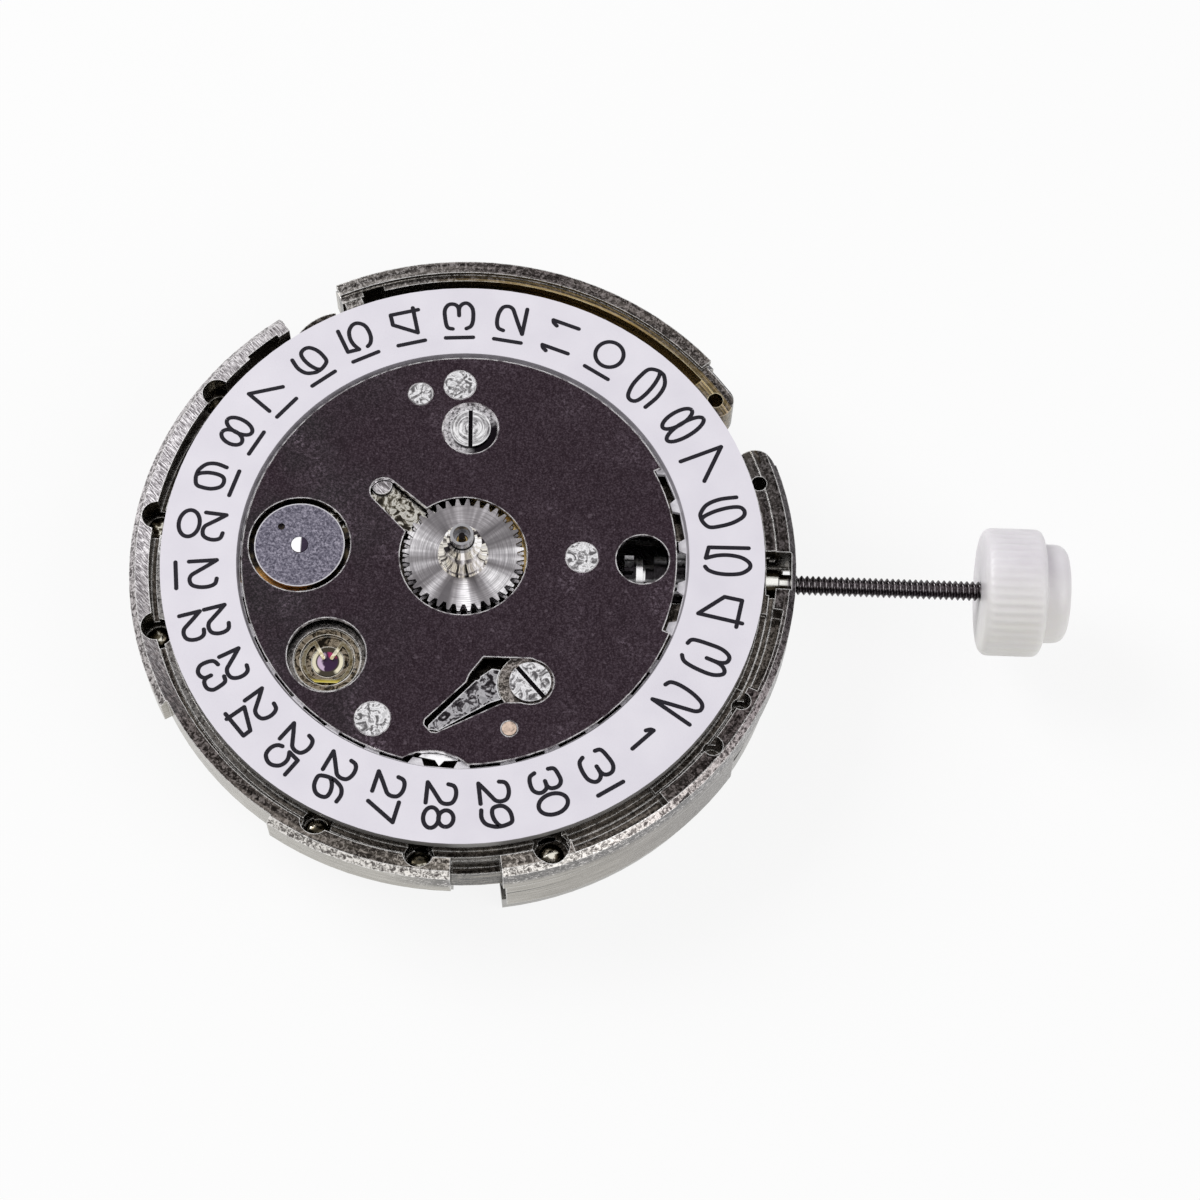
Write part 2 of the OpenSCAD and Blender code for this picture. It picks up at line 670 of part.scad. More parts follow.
module calendar_plate_2d() {
  difference() {
    intersection() {
      circle(r = plate_r, $fn = 120);
      union() {
        circle(r = plate_relief_r, $fn = 120);
        wedge_2d(2 * plate_r, 28, 160);
        wedge_2d(2 * plate_r, 159, 250);
        wedge_2d(2 * plate_r, 249, 340);
      }
    }
    circle(r = hour_window_r);
    translate(date_wheel_at) circle(r = date_window_r);
    translate(balance_at) circle(r = shock_window_r);
    translate(pinion_window) circle(r = pinion_window_r);
    translate(date_idler_at + [0.1, -0.34]) circle(r = 0.53);
    translate(date_idler_at + [0.1, -0.34])
      rotate(heading(date_idler_at, [0, 0])) polygon([[0, -0.53], [2.2, -0.66], [2.2, 0.66], [0, 0.53]]);
    // Slot over the date jumper's spring
    translate(screw_b) {
      circle(r = 0.9);
      polygon([[-2.45, -0.11], [-3.94, -1.68], [-3.96, -1.87], [-3.69, -2.16], [-3.48, -2.17], [-1.2, -0.98],
         [-0.93, -0.87], [0.3, -0.82], [0.45, 0.78], [0, 0.96], [-1.82, 0.96], [-2.32, 0.25]]);
    }
    // Scallop over the date jumper's beak
    translate(polar(plate_r + 1.65, beak_angle - 1)) circle(r = 2.14);
    translate(screw_a) circle(r = shank_r + 0.02);
    translate(jumper_pivot) circle(r = 0.3);
    for (p = plate_posts)
      translate(p[0]) circle(r = p[1]);
  }
}
module calendar_plate() {
  color(dark_plate)
    difference() {
      slab(plate_top, plate_under) calendar_plate_2d();
      at(screw_a, 0) disc(screw_a_r + screw_a_sink_w, 1, plate_top - 0.11);
    }
}
module calendar_plate_screws() {
  color(steel) {
    at(screw_a, 0) {
      slotted_head(screw_a_r, plate_top + 0.02, 0.13, screw_slot_w, 92);
      disc(shank_r, plate_top - 0.1, plate_under);
    }
    at(screw_b, 0) slotted_head(screw_b_r, plate_top + 0.02, plate_thick + 0.02, screw_slot_w, -48);
  }
}
module calendar_plate_posts() {
  color(nickel)
    for (p = plate_posts)
      at(p[0], 0) disc(p[1], plate_top + 0.03, plate_under);
}
module locating_pin() {
  color(brass_tone)
    at(jumper_pivot, 0) disc(0.28, plate_top + 0.03, plate_under - 0.22);
}

// Date jumper: a lever with a beak between two of the ring's teeth
beak_angle = -93.4;
beak_at = polar(ring_tip_r + 0.22, beak_angle);
module date_jumper() {
  color(steel)
    slab(tooth_top - 0.02, tooth_top - 0.16)
      difference() {
        union() {
          path_2d([jumper_pivot, [0.9, -7.75], polar(8.0, beak_angle)], 0.22);
          polygon([for (p = [[0.2, 0], [-0.02, 1.2], [-0.06, 5.5], [-0.32, 4], [-0.6, 0], [-0.32, -4],
             [-0.06, -5.5], [-0.02, -1.2]]) polar(ring_tip_r + p[0], beak_angle + p[1])]);
          translate(jumper_pivot) circle(r = 0.45);
        }
        translate(jumper_pivot) circle(r = 0.28 + pivot_gap);
      }
}
// Bent flat spring under the plate's slot, held by the lower plate screw
module date_jumper_spring() {
  color(steel)
    slab(plate_under - 0.02, plate_under - 0.14)
      difference() {
        union() {
          polygon([[0.8, -5.0], [-1.0, -6.98], [-0.98, -7.16], [-0.62, -7.2], [1.3, -6.0], [2.1, -5.7], [2.2, -4.7],
             [1.32, -4.6]]);
        }
        translate(screw_b) circle(r = 1.27);
        translate([0.75, -4.95]) circle(r = 0.14);
      }
}

// Keyless works on the dial side
lever_top = dial_floor + 0.26;
lever_under = dial_floor + 0.06;
module setting_lever() {
  color(steel)
    difference() {
      union() {
        slab(lever_top, lever_under) {
          bar_2d(lever_pivot, lever_pin_at, 0.26);
          translate(lever_pivot) circle(r = 0.62);
          bar_2d(lever_pivot, lever_tail, 0.26);
        }
        at(lever_pin_at, 0) disc(lever_pin_r, lever_under + eps, stem_z);
      }
      at(lever_pivot, 0) disc(0.35 + turn_gap, 1, -3);
    }
}
module setting_lever_spring() {
  color(steel)
    slab(lever_top, lever_under) {
      path_2d(lever_spring_path, 0.13);
      translate(lever_spring_path[0]) circle(r = 0.45);
    }
}
module yoke() {
  color(steel)
    difference() {
      union() {
        slab(lever_top, lever_under) {
          path_2d([yoke_pivot, [7.6, -2.6], [yoke_pin_at[0], -1.55]], 0.24);
          bar_2d([yoke_pin_at[0], -1.55], yoke_pin_at, 0.14);
          translate(yoke_pivot) circle(r = 0.6);
        }
        at(yoke_pin_at, 0) disc(yoke_pin_r, lever_under + eps, stem_z);
      }
      at(yoke_pivot, 0) disc(0.35 + turn_gap, 1, -3);
    }
}
module yoke_spring() {
  color(steel)
    slab(lever_top, lever_under) {
      path_2d([[4.75, -5.4], [5.3, -3.6], [6.8, -2.85]], 0.09);
      translate([4.75, -5.4]) circle(r = 0.45);
    }
}

// Stem parts turn round the X axis at the stem's depth
module along_stem() {
  translate([0, 0, stem_z]) rotate([0, 90, 0]) children();
}
stem_x0 = 5.35;
shoulder_x1 = rim_r - 0.9;
thread_x0 = shoulder_x1;
thread_count = floor((crown_x - thread_x0) / thread_pitch);
function thread_outline() = [for (i = [0 : thread_count - 1])
  each [[thread_r, thread_x0 + (i + 0.5) * thread_pitch],
     [thread_r - 0.1, thread_x0 + (i + 1) * thread_pitch]]];
module stem() {
  color(steel)
    along_stem() {
      rotate_extrude($fn = 48)
        polygon(concat([[0, thread_x0 - eps], [thread_r - 0.1, thread_x0 - eps]],
          thread_outline(),
          [[thread_r - 0.1, crown_x + 1.2], [0, crown_x + 1.2]]));
      translate([0, 0, stem_x0]) cylinder(r = pilot_r, h = sliding_x0 - stem_x0);
      translate([-stem_square / 2, -stem_square / 2, sliding_x0 - eps])
        cube([stem_square, stem_square, winding_x0 - sliding_x0 + eps]);
      translate([0, 0, winding_x0 - eps])
        cylinder(r = stem_seat_r, h = winding_x1 - winding_x0 + 0.1);
      translate([0, 0, winding_x1 + 0.05])
        cylinder(r = shoulder_r, h = groove_x0 - winding_x1 - 0.05);
      translate([0, 0, groove_x0 - eps]) cylinder(r = groove_r, h = groove_x1 - groove_x0 + 2 * eps);
      translate([0, 0, groove_x1]) cylinder(r = shoulder_r, h = shoulder_x1 - groove_x1);
    }
}
module crown() {
  pitch = 360 / crown_ribs;
  rib_h = 0.09;
  color(milky)
    along_stem()
      difference() {
        union() {
          translate([0, 0, crown_x + 0.25])
            linear_extrude(height = crown_len - 0.5)
              polygon([for (i = [0 : crown_ribs - 1])
                each [polar(crown_r - rib_h, i * pitch - 0.36 * pitch),
                   polar(crown_r, i * pitch - 0.2 * pitch),
                   polar(crown_r, i * pitch + 0.2 * pitch),
                   polar(crown_r - rib_h, i * pitch + 0.36 * pitch)]]);
          translate([0, 0, crown_x])
            cylinder(r1 = crown_r - 0.25, r2 = crown_r - rib_h, h = 0.25 + eps);
          translate([0, 0, crown_x + crown_len - 0.25 - eps])
            cylinder(r1 = crown_r - rib_h, r2 = crown_r - 0.3, h = 0.25 + eps);
          translate([0, 0, crown_x + crown_len - eps])
            cylinder(r = crown_cap_r, h = crown_cap_len - 0.3 + eps);
          translate([0, 0, crown_x + crown_len + crown_cap_len - 0.3 - eps])
            cylinder(r1 = crown_cap_r, r2 = crown_cap_r - 0.35, h = 0.3);
        }
        translate([0, 0, crown_x - 1]) cylinder(r = thread_r - 0.1, h = 2.2);
      }
}
module sliding_pinion() {
  len = sliding_x1 - sliding_x0;
  color(steel)
    along_stem()
      difference() {
        union() {
          // Contrate teeth towards the setting wheel
          translate([0, 0, sliding_x0]) linear_extrude(height = 0.35) gear_2d(0.125, 14, 0);
          translate([0, 0, sliding_x0 + 0.3]) cylinder(r = 0.85, h = 0.42);
          translate([0, 0, sliding_x0 + 0.7]) cylinder(r = 0.62, h = 0.5);
          translate([0, 0, sliding_x0 + 1.15]) cylinder(r = 0.95, h = len - 1.15);
        }
        translate([-stem_square / 2 - turn_gap, -stem_square / 2 - turn_gap, sliding_x0 - 1])
          cube([stem_square + 2 * turn_gap, stem_square + 2 * turn_gap, 4]);
      }
}
module winding_pinion() {
  root = winding_pinion_r - 0.2;
  pitch = 360 / winding_teeth;
  color(steel)
    along_stem()
      difference() {
        union() {
          translate([0, 0, winding_x0 + 0.25])
            linear_extrude(height = 0.7)
              polygon([for (i = [0 : winding_teeth - 1])
                each [polar(root, (i - 0.33) * pitch),
                   polar(winding_pinion_r, (i - 0.13) * pitch),
                   polar(winding_pinion_r, (i + 0.13) * pitch),
                   polar(root, (i + 0.33) * pitch)]]);
          translate([0, 0, winding_x0]) cylinder(r = 0.95, h = 0.26);
          translate([0, 0, winding_x0 + 0.94]) cylinder(r = 0.8, h = winding_x1 - winding_x0 - 0.94);
        }
        translate([0, 0, winding_x0 - 1]) cylinder(r = stem_seat_r + pivot_gap, h = 4);
      }
}

// Winding wheels on the back of the barrel bridge
crown_core_r = 0.9;
winding_reach = stem_z - winding_pinion_r;
crown_lower_top = winding_reach + 0.05;
crown_lower_thick = 0.11;
module crown_wheel() {
  color(steel)
    at(crown_wheel_at, 0) {
      gear(crown_lower_module, crown_lower_teeth, 0, crown_lower_top, crown_lower_top - crown_lower_thick);
      disc(crown_core_r, crown_lower_top - 0.1, ratchet_top - eps);
      gear(ratchet_module, crown_upper_teeth,
        mesh_phase(heading(barrel_at, crown_wheel_at), ratchet_teeth, 0, crown_upper_teeth),
        ratchet_top, ratchet_under);
    }
}
module ratchet_wheel() {
  color(steel)
    at(barrel_at, 0)
      difference() {
        gear(ratchet_module, ratchet_teeth, 0, ratchet_top, ratchet_under);
        translate([-0.55, -0.55, ratchet_under - 1]) cube([1.1, 1.1, 2]);
      }
}
arbor_bridge_r = 0.95;
module barrel_arbor() {
  color(steel)
    at(barrel_at, 0) {
      disc(barrel_pivot_r, dial_floor - 0.05, drum_top + 0.02);
      disc(0.95, drum_top + 0.03, drum_under - 0.02);
      disc(arbor_bridge_r, drum_under, ratchet_top);
      translate([-0.55, -0.55, ratchet_under]) cube([1.1, 1.1, ratchet_thick + eps]);
      // Retaining head over the ratchet wheel
      disc(0.9, ratchet_under, ratchet_under - 0.12);
    }
}
click_at = barrel_at + [ratchet_module * ratchet_teeth / 2 + 1.35, 0];
// The pawl rests between two teeth of the ratchet wheel
click_tip = barrel_at + polar(ratchet_module * (ratchet_teeth / 2 + 0.6), 180 / ratchet_teeth);
module click() {
  color(steel)
    difference() {
      slab(ratchet_top, ratchet_under) {
        translate(click_at) circle(r = 0.6);
        polygon([click_tip, click_at + [-0.5, -0.25], click_at + [0.2, -0.4], click_at + [-0.3, 0.52]]);
      }
      at(click_at, 0) disc(0.25, 0, -9);
    }
}
module click_spring() {
  color(steel)
    slab(ratchet_top - 0.02, ratchet_under + 0.04)
      translate(click_at) path_2d([[-0.75, 0.75], [-0.3, 1.0], [0.55, 0.95], [1.0, 0.4]], 0.08);
}

// Bridges on the back
split = [[-13, 1.5], [-2.4, 1.5], [2.3, 1.5], [4.3, -1.7], [6.6, -2.6], [13, -3.4], [13, 14], [-13, 14]];
bridge_r = wall_r - 0.05;
module bridge_blank() {
  circle(r = bridge_r, $fn = 120);
}
module barrel_bridge() {
  color(nickel)
    difference() {
      slab(bridge_under, bridge_back)
        difference() {
          intersection() {
            bridge_blank();
            polygon(split);
          }
          translate(barrel_at) circle(r = arbor_bridge_r + turn_gap);
          translate(crown_wheel_at) circle(r = crown_core_r + turn_gap);
        }
      sector(14, ring_r, notch_top[0], notch_top[1], 0, -9);
      for (p = bridge_screw_places)
        at(p, 0) screw_hole();
      for (p = auto_feet)
        at(p, 0) disc(0.3, 0, -9);
      at(barrel_at, 0)
        difference() {
          disc(drum_r - 0.4, bridge_under + 1, bridge_under + 0.5);
          disc(1, 0, -9);
        }
    }
}
module train_bridge() {
  color(nickel)
    difference() {
      slab(bridge_under, bridge_back) {
        difference() {
          bridge_blank();
          offset_split();
          translate(balance_at) circle(r = balance_r + 0.25);
          polygon([balance_at, [-14, -14], [-14, 3], [-3.6, 3]]);
        }
        // Lobe that carries the escape wheel's jewel
        translate(escape_at) circle(r = 0.8);
      }
      sector(14, ring_r + 0.1, notch_low[0], notch_low[1], 0, -9);
      for (p = upper_jewels)
        at(p, 0) disc(jewel_r, 0, -9);
      for (p = bridge_screw_places)
        at(p, 0) screw_hole();
      for (p = auto_feet)
        at(p, 0) disc(0.3, 0, -9);
    }
}
// The barrel bridge's side of the split, moved over by the gap between the bridges
module offset_split() {
  translate([0, -0.12]) polygon(split);
}
module screw_hole() {
  disc(0.38, bridge_under + 1, bridge_back - 1);
  disc(bridge_screw_r + 0.05, bridge_back + 0.3, bridge_back - 1);
}
module bridge_screws() {
  color(steel) {
    for (i = [0 : len(bridge_screw_places) - 2])
      at(bridge_screw_places[i], 0) back_screw(bridge_screw_r, bridge_back, 0.33, 1.2, 25 + 47 * i);
    at(bridge_screw_places[len(bridge_screw_places) - 1], 0)
      back_screw(bridge_screw_r, bridge_back, 0.33, 1.2, 70);
    for (i = [0 : len(auto_feet) - 1])
      at(auto_feet[i], 0) back_screw(0.55, auto_under, 0.28, 1.1, 15 + 60 * i);
    at(pallet_foot, 0) back_screw(0.5, pallet_bridge_top - pallet_bridge_thick, 0.28, 0.7, 30);
  }
}

pallet_foot = pallet_at + polar(2.5, pallet_line + 93);
module pallet_bridge() {
  color(nickel)
    difference() {
      union() {
        slab(pallet_bridge_top, pallet_bridge_top - pallet_bridge_thick) {
          bar_2d(pallet_at, pallet_foot, 0.62);
          translate(pallet_foot) circle(r = 0.8);
        }
        at(pallet_foot, 0) disc(0.75, web_back, pallet_bridge_top - eps);
      }
      at(pallet_at, 0) disc(jewel_r, 0, -9);
      at(pallet_foot, 0) disc(0.3, 0, -9);
      at(pallet_foot, 0) disc(0.54, pallet_bridge_top - pallet_bridge_thick + 0.3, -9);
    }
}

// Balance cock, its regulator and the two shock settings
cock_foot = bridge_screw_places[5];
cock_top = rim_top - balance_rim_h - 0.4;
cock_thick = bridge_back + 0.0 - cock_top;
module balance_cock() {
  color(nickel)
    difference() {
      union() {
        slab(cock_top, bridge_back) {
          bar_2d(balance_at, [-8.4, -2.1], 1.3);
          bar_2d([-8.4, -2.1], cock_foot, 1.3);
          translate(balance_at) circle(r = 1.7);
        }
        slab(bridge_under, cock_top - eps)
          intersection() {
            difference() {
              union() {
                translate(cock_foot) circle(r = 1.3);
                polygon([[-13, -3.2], [-9.6, -0.9], [-8.5, 0.4], [-7, 1.2], [-13, 1.2]]);
              }
              translate(balance_at) circle(r = balance_r + 0.25);
            }
            circle(r = bridge_r, $fn = 120);
          }
      }
      at(balance_at, 0) {
        disc(shock_r, shock_mouth_back + 0.57, -9);
        disc(0.6, 0, -9);
      }
      at(cock_foot, 0) screw_hole();
    }
}
module shock_body(z_mouth, side) {
  // side is 1 for the dial and -1 for the back
  scale_z = side;
  translate([0, 0, z_mouth])
    rotate([side > 0 ? 0 : 180, 0, 0])
      difference() {
        union() {
          disc(shock_r - 0.01, -0.08, -0.55);
          disc(0.58, -0.4, -0.75);
        }
        disc(1.05, 1, -0.3);
        disc(0.62, 1, -0.45);
        disc(staff_pivot_r + pivot_gap, 1, -3);
        disc(0.3, -0.6, -3);
      }
}
staff_pivot_r = 0.06;
shock_mouth_dial = -0.55;
shock_mouth_back = bridge_back - 0.33;
module shock_settings() {
  color(gilt)
    at(balance_at, 0) {
      shock_body(shock_mouth_dial, 1);
      shock_body(shock_mouth_back, -1);
    }
}
module lyre_2d() {
  // Two curved arms, a bridge and two inward tongues
  for (s = [-1, 1])
    for (i = [0 : 6]) {
      a = 35 + i * 17;
      bar_2d([s * 0.92 * sin(a), 0.92 * cos(a)], [s * 0.92 * sin(a + 17), 0.92 * cos(a + 17)], 0.07);
    }
  bar_2d([-0.53, 0.75], [-0.16, 0.12], 0.07);
  bar_2d([0.53, 0.75], [0.16, 0.12], 0.07);
  bar_2d([-0.4, -0.83], [0.4, -0.83], 0.07);
}
module shock_spring(z_mouth, side) {
  translate([0, 0, z_mouth])
    rotate([side > 0 ? 0 : 180, 0, 0])
      slab(-0.16, -0.24) lyre_2d();
}
module shock_springs() {
  color(gilt)
    at(balance_at, 0) {
      shock_spring(shock_mouth_dial, 1);
      shock_spring(shock_mouth_back, -1);
    }
}
module cap_jewels() {
  color(ruby)
    at(balance_at, 0) {
      translate([0, 0, shock_mouth_dial]) disc(0.6, -0.26, -0.44);
      translate([0, 0, shock_mouth_back]) rotate([180, 0, 0]) disc(0.6, -0.26, -0.44);
    }
}
regulator_angle = 60;
module regulator() {
  color(steel)
    at(balance_at, 0)
      difference() {
        union() {
          slab(bridge_back - 0.03, bridge_back - 0.15) {
            circle(r = 1.65);
            rotate(regulator_angle) bar_2d([1.4, 0], [hairspring_out_r + 0.1, 0], 0.16);
            rotate(regulator_angle + 150) bar_2d([1.4, 0], [2.3, 0], 0.14);
          }
          rotate([0, 0, regulator_angle])
            for (s = [-1, 1])
              translate([hairspring_out_r + s * 0.16, 0, 0])
                disc(0.07, hairspring_z - 0.04, bridge_back - 0.1);
        }
        disc(shock_r + 0.03, 0, -9);
      }
}
hairspring_out_r = hairspring_in_r + hairspring_turns * hairspring_pitch;
hairspring_z = rim_top - balance_rim_h - 0.2;
stud_angle = 100;
module stud_holder() {
  color(steel)
    at(balance_at, 0)
      difference() {
        union() {
          slab(bridge_back - 0.17, bridge_back - 0.29) {
            circle(r = 1.6);
            rotate(stud_angle) bar_2d([1.4, 0], [hairspring_out_r + 0.15, 0], 0.2);
          }
          rotate([0, 0, stud_angle])
            translate([hairspring_out_r + 0.14, 0, 0])
              disc(0.1, hairspring_z - 0.0, bridge_back - 0.2);
        }
        disc(shock_r + 0.03, 0, -9);
      }
}

// Automatic winding
module auto_plate_2d() {
  difference() {
    union() {
      circle(r = 3.5);
      hull() {
        circle(r = 3.2, $fn = 32);
        translate(reverser_b_at) circle(r = 1.5, $fn = 32);
        translate(auto_feet[0]) circle(r = 0.95, $fn = 32);
        translate(auto_feet[1]) circle(r = 0.95, $fn = 32);
      }
      bar_2d([2.0, -2.0], auto_feet[2], 0.9);
    }
    circle(r = rotor_gear_tip + 0.15);
  }
}
rotor_gear_tip = tip_r(reverser_module, rotor_gear_teeth);
auto_arbors = [reverser_a_at, reverser_b_at, reduction_at];
module automatic_bridge() {
  color(nickel)
    difference() {
      union() {
        slab(auto_top, auto_under) auto_plate_2d();
        for (p = auto_feet)
          at(p, 0) disc(0.7, bridge_back, auto_top - eps);
      }
      for (p = auto_arbors)
        at(p, 0) disc(auto_pivot_r + pivot_gap, 0, -9);
      for (p = auto_feet) {
        at(p, 0) disc(0.3, 0, -9);
        at(p, 0) disc(0.6, auto_under + 0.3, -9);
      }
    }
}
auto_pivot_r = 0.22;
rotor_rim_in_r = rotor_r - rotor_rim_w;
module auto_arbor() {
  disc(auto_pivot_r, bridge_back - 0.02, auto_under + 0.02);
}
module reversing_wheel(place, phase_gear, phase_pinion) {
  at(place, 0) {
    auto_arbor();
    gear(reverser_module, reverser_teeth, phase_gear, reverser_top, reverser_under);
    gear(auto_module, reverser_pinion_teeth, phase_pinion, reduction_top + 0.03, reverser_top - eps);
  }
}
phase_a = 0;
phase_b = mesh_phase(heading(reverser_a_at, reverser_b_at), reverser_teeth, phase_a, reverser_teeth);
phase_reduction = 0;
module reversing_wheel_a() {
  color(steel) reversing_wheel(reverser_a_at, phase_a,
    mesh_phase(heading(reduction_at, reverser_a_at), reduction_teeth, phase_reduction, reverser_pinion_teeth));
}
module reversing_wheel_b() {
  color(steel) reversing_wheel(reverser_b_at, phase_b,
    mesh_phase(heading(reduction_at, reverser_b_at), reduction_teeth, phase_reduction, reverser_pinion_teeth));
}
module reduction_wheel() {
  color(brass_tone)
    at(reduction_at, 0) {
      auto_arbor();
      spoked_gear(auto_module, reduction_teeth, phase_reduction, reduction_top,
        reduction_top - reverser_thick, 1.0, 0.3, 5);
      gear(ratchet_module, reduction_pinion_teeth,
        mesh_phase(heading(barrel_at, reduction_at), ratchet_teeth, 0, reduction_pinion_teeth),
        ratchet_top, reduction_top - eps);
    }
}
post_r = 0.8;
hub_in_r = 1.14;
ball_r = 0.19;
ball_path_r = (hub_in_r + post_r) / 2;
ball_z = reverser_under;
// Ring-shaped room for the balls, cut into the post and into the rotor's hub
module ball_groove() {
  translate([0, 0, ball_z])
    rotate_extrude($fn = 48) translate([ball_path_r, 0]) circle(r = ball_r + 0.02, $fn = 24);
}
module rotor_bearing_post() {
  color(steel)
    difference() {
      union() {
        disc(post_r, bridge_back, rotor_under + 0.25);
        disc(1.0, bridge_back, bridge_back - 0.25);
      }
      disc(0.32, 0, -9);
      ball_groove();
    }
}
module rotor_screw() {
  color(steel)
    difference() {
      union() {
        disc(0.78, rotor_under + 0.25, rotor_under + 0.07);
        disc(0.3, bridge_back - 0.05, rotor_under + 0.24);
      }
      for (a = [0, 120, 240])
        rotate([0, 0, a]) translate([0.3, -0.1, rotor_under - 1]) cube([1, 0.2, 1.16]);
    }
}
module bearing_balls() {
  color(steel)
    for (i = [0 : ball_count - 1])
      rotate([0, 0, i * 360 / ball_count])
        translate([ball_path_r, 0, ball_z]) sphere(r = ball_r, $fn = 24);
}
module rotor_carrier() {
  color(steel)
    difference() {
      union() {
        disc(1.45, reverser_top + 0.02, carrier_top - carrier_thick);
        gear(reverser_module, rotor_gear_teeth,
          mesh_phase(heading(reverser_a_at, centre), reverser_teeth, phase_a, rotor_gear_teeth),
          reverser_top + 0.02, reverser_under - 0.02);
        slab(carrier_top, carrier_top - carrier_thick)
          rotate(rotor_rest_angle)
            intersection() {
              circle(r = rotor_rim_in_r - 0.02, $fn = 120);
              union() {
                wedge_2d(3 * rotor_r, -rotor_span / 4 - 1, rotor_span / 4 + 1);
                wedge_2d(3 * rotor_r, -rotor_span / 2, -rotor_span / 4 + 1);
                wedge_2d(3 * rotor_r, rotor_span / 4 - 1, rotor_span / 2);
                circle(r = 2.6);
              }
            }
      }
      disc(hub_in_r, 0, -9);
      ball_groove();
      // Three windows that lighten the carrier
      rotate([0, 0, rotor_rest_angle])
        for (a = [-56, 0, 56])
          sector(rotor_rim_in_r - 1.55, 4.2, a - 20, a + 20, 0, -9);
    }
}
module rotor_weight() {
  color(nickel)
    rotate([0, 0, rotor_rest_angle])
      intersection() {
        rotate_extrude($fn = 120)
          polygon([[rotor_rim_in_r, carrier_top + 0.05], [rotor_rim_in_r + 0.3, bridge_back - 0.15],
            [rotor_r, bridge_back - 0.15], [rotor_r, rotor_under + 0.25],
            [rotor_r - 0.25, rotor_under], [rotor_rim_in_r, rotor_under]]);
        slab(0, -9) {
          wedge_2d(3 * rotor_r, -rotor_span / 4 - 1, rotor_span / 4 + 1);
          wedge_2d(3 * rotor_r, -rotor_span / 2, -rotor_span / 4 + 1);
          wedge_2d(3 * rotor_r, rotor_span / 4 - 1, rotor_span / 2);
        }
      }
}

// Barrel
module barrel_drum() {
  color(brass_tone)
    at(barrel_at, 0)
      difference() {
        union() {
          disc(drum_r, drum_top, drum_under + 0.14);
          gear(barrel_module, barrel_teeth, 0, drum_top - 0.04, drum_top - 0.34);
        }
        disc(drum_r - drum_wall, drum_top - 0.14, -9);
        disc(0.95 + turn_gap, 0, -9);
      }
}
module barrel_cover() {
  color(brass_tone)
    at(barrel_at, 0) tube(drum_r, 0.95 + turn_gap, drum_under + 0.14, drum_under);
}
mainspring_turns = 6;
mainspring_w = 0.1;
mainspring_in_r = 1.15;
mainspring_pitch = (drum_r - drum_wall - mainspring_in_r - 0.2) / mainspring_turns;
module mainspring() {
  color(steel)
    at(barrel_at, 0)
      spiral_ribbon(mainspring_turns, mainspring_in_r, mainspring_pitch, mainspring_w,
        barrel_height - 0.4, (drum_top + drum_under) / 2, 0);
}

// Going train
module centre_wheel() {
  color(brass_tone)
    difference() {
      union() {
        spoked_gear(centre_module, centre_teeth, 0, centre_top, centre_top - wheel_thick, 0.9, 0.35, 5);
        gear(barrel_module, centre_pinion_teeth,
          mesh_phase(heading(barrel_at, centre), barrel_teeth, 0, centre_pinion_teeth),
          centre_top - wheel_thick + eps, drum_top - 0.45);
        disc(sleeve_r, sleeve_top, centre_top - eps);
      }
      disc(sleeve_in_r, 5, -9);
    }
}
module arbor(z_high, z_low) {
  // Thin pivots run in the jewels, a thicker arbor lies between them
  disc(pivot_r, web_back + jewel_thick - 0.02, z_low + eps);
  disc(arbor_r, web_back - 0.03, bridge_under + 0.03);
  disc(pivot_r, bridge_under + 0.03 + eps, bridge_under - jewel_thick + 0.02);
}
module third_wheel() {
  color(brass_tone)
    at(third_at, 0) {
      arbor(web_back, bridge_under);
      spoked_gear(seconds_module_fit, third_teeth, 0, third_top, third_top - wheel_thick, 0.6, 0.35, 5);
      gear(centre_module, third_pinion_teeth,
        mesh_phase(heading(centre, third_at), centre_teeth, 0, third_pinion_teeth),
        centre_top + 0.03, centre_top - wheel_thick - 0.05);
    }
}
module seconds_wheel() {
  color(brass_tone) {
    disc(seconds_seat_r, seconds_seat_top, third_top);
    disc(arbor_r, drum_top - 0.78, bridge_under + 0.03);
    disc(pivot_r, bridge_under + 0.03 + eps, bridge_under - jewel_thick + 0.02);
    spoked_gear(seconds_module, seconds_teeth, 0, seconds_top, seconds_top - wheel_thick, 0.6, 0.35, 5);
    gear(seconds_module_fit, seconds_pinion_teeth,
      mesh_phase(heading(third_at, centre), third_teeth, 0, seconds_pinion_teeth),
      seconds_top - wheel_thick + eps, third_top - wheel_thick - 0.05);
  }
}
module escape_wheel_2d() {
  pitch = 360 / escape_teeth;
  difference() {
    union() {
      circle(r = escape_r * 0.72);
      for (i = [0 : escape_teeth - 1])
        rotate(i * pitch + escape_phase)
          polygon([polar(escape_r * 0.6, -8), polar(escape_r * 0.97, 0),
            polar(escape_r, 3), polar(escape_r * 0.9, 4), polar(escape_r * 0.66, -0.5),
            polar(escape_r * 0.6, 3)]);
    }
    for (i = [0 : 4])
      rotate(i * 72)
        difference() {
          intersection() {
            difference() {
              circle(r = escape_r * 0.56);
              circle(r = 0.42);
            }
            wedge_2d(4, 0, 72);
          }
          translate([0, -0.08]) square([2, 0.16]);
          rotate(72) translate([0, -0.08]) square([2, 0.16]);
        }
  }
}
escape_phase = pallet_line + 6;
module escape_wheel() {
  color(steel)
    at(escape_at, 0) {
      slab(escape_top, escape_under) escape_wheel_2d();
      arbor(web_back, bridge_under);
      gear(seconds_module, escape_pinion_teeth,
        mesh_phase(heading(centre, escape_at), seconds_teeth, 0, escape_pinion_teeth),
        seconds_top + 0.06, seconds_top - wheel_thick - 0.05);
    }
}
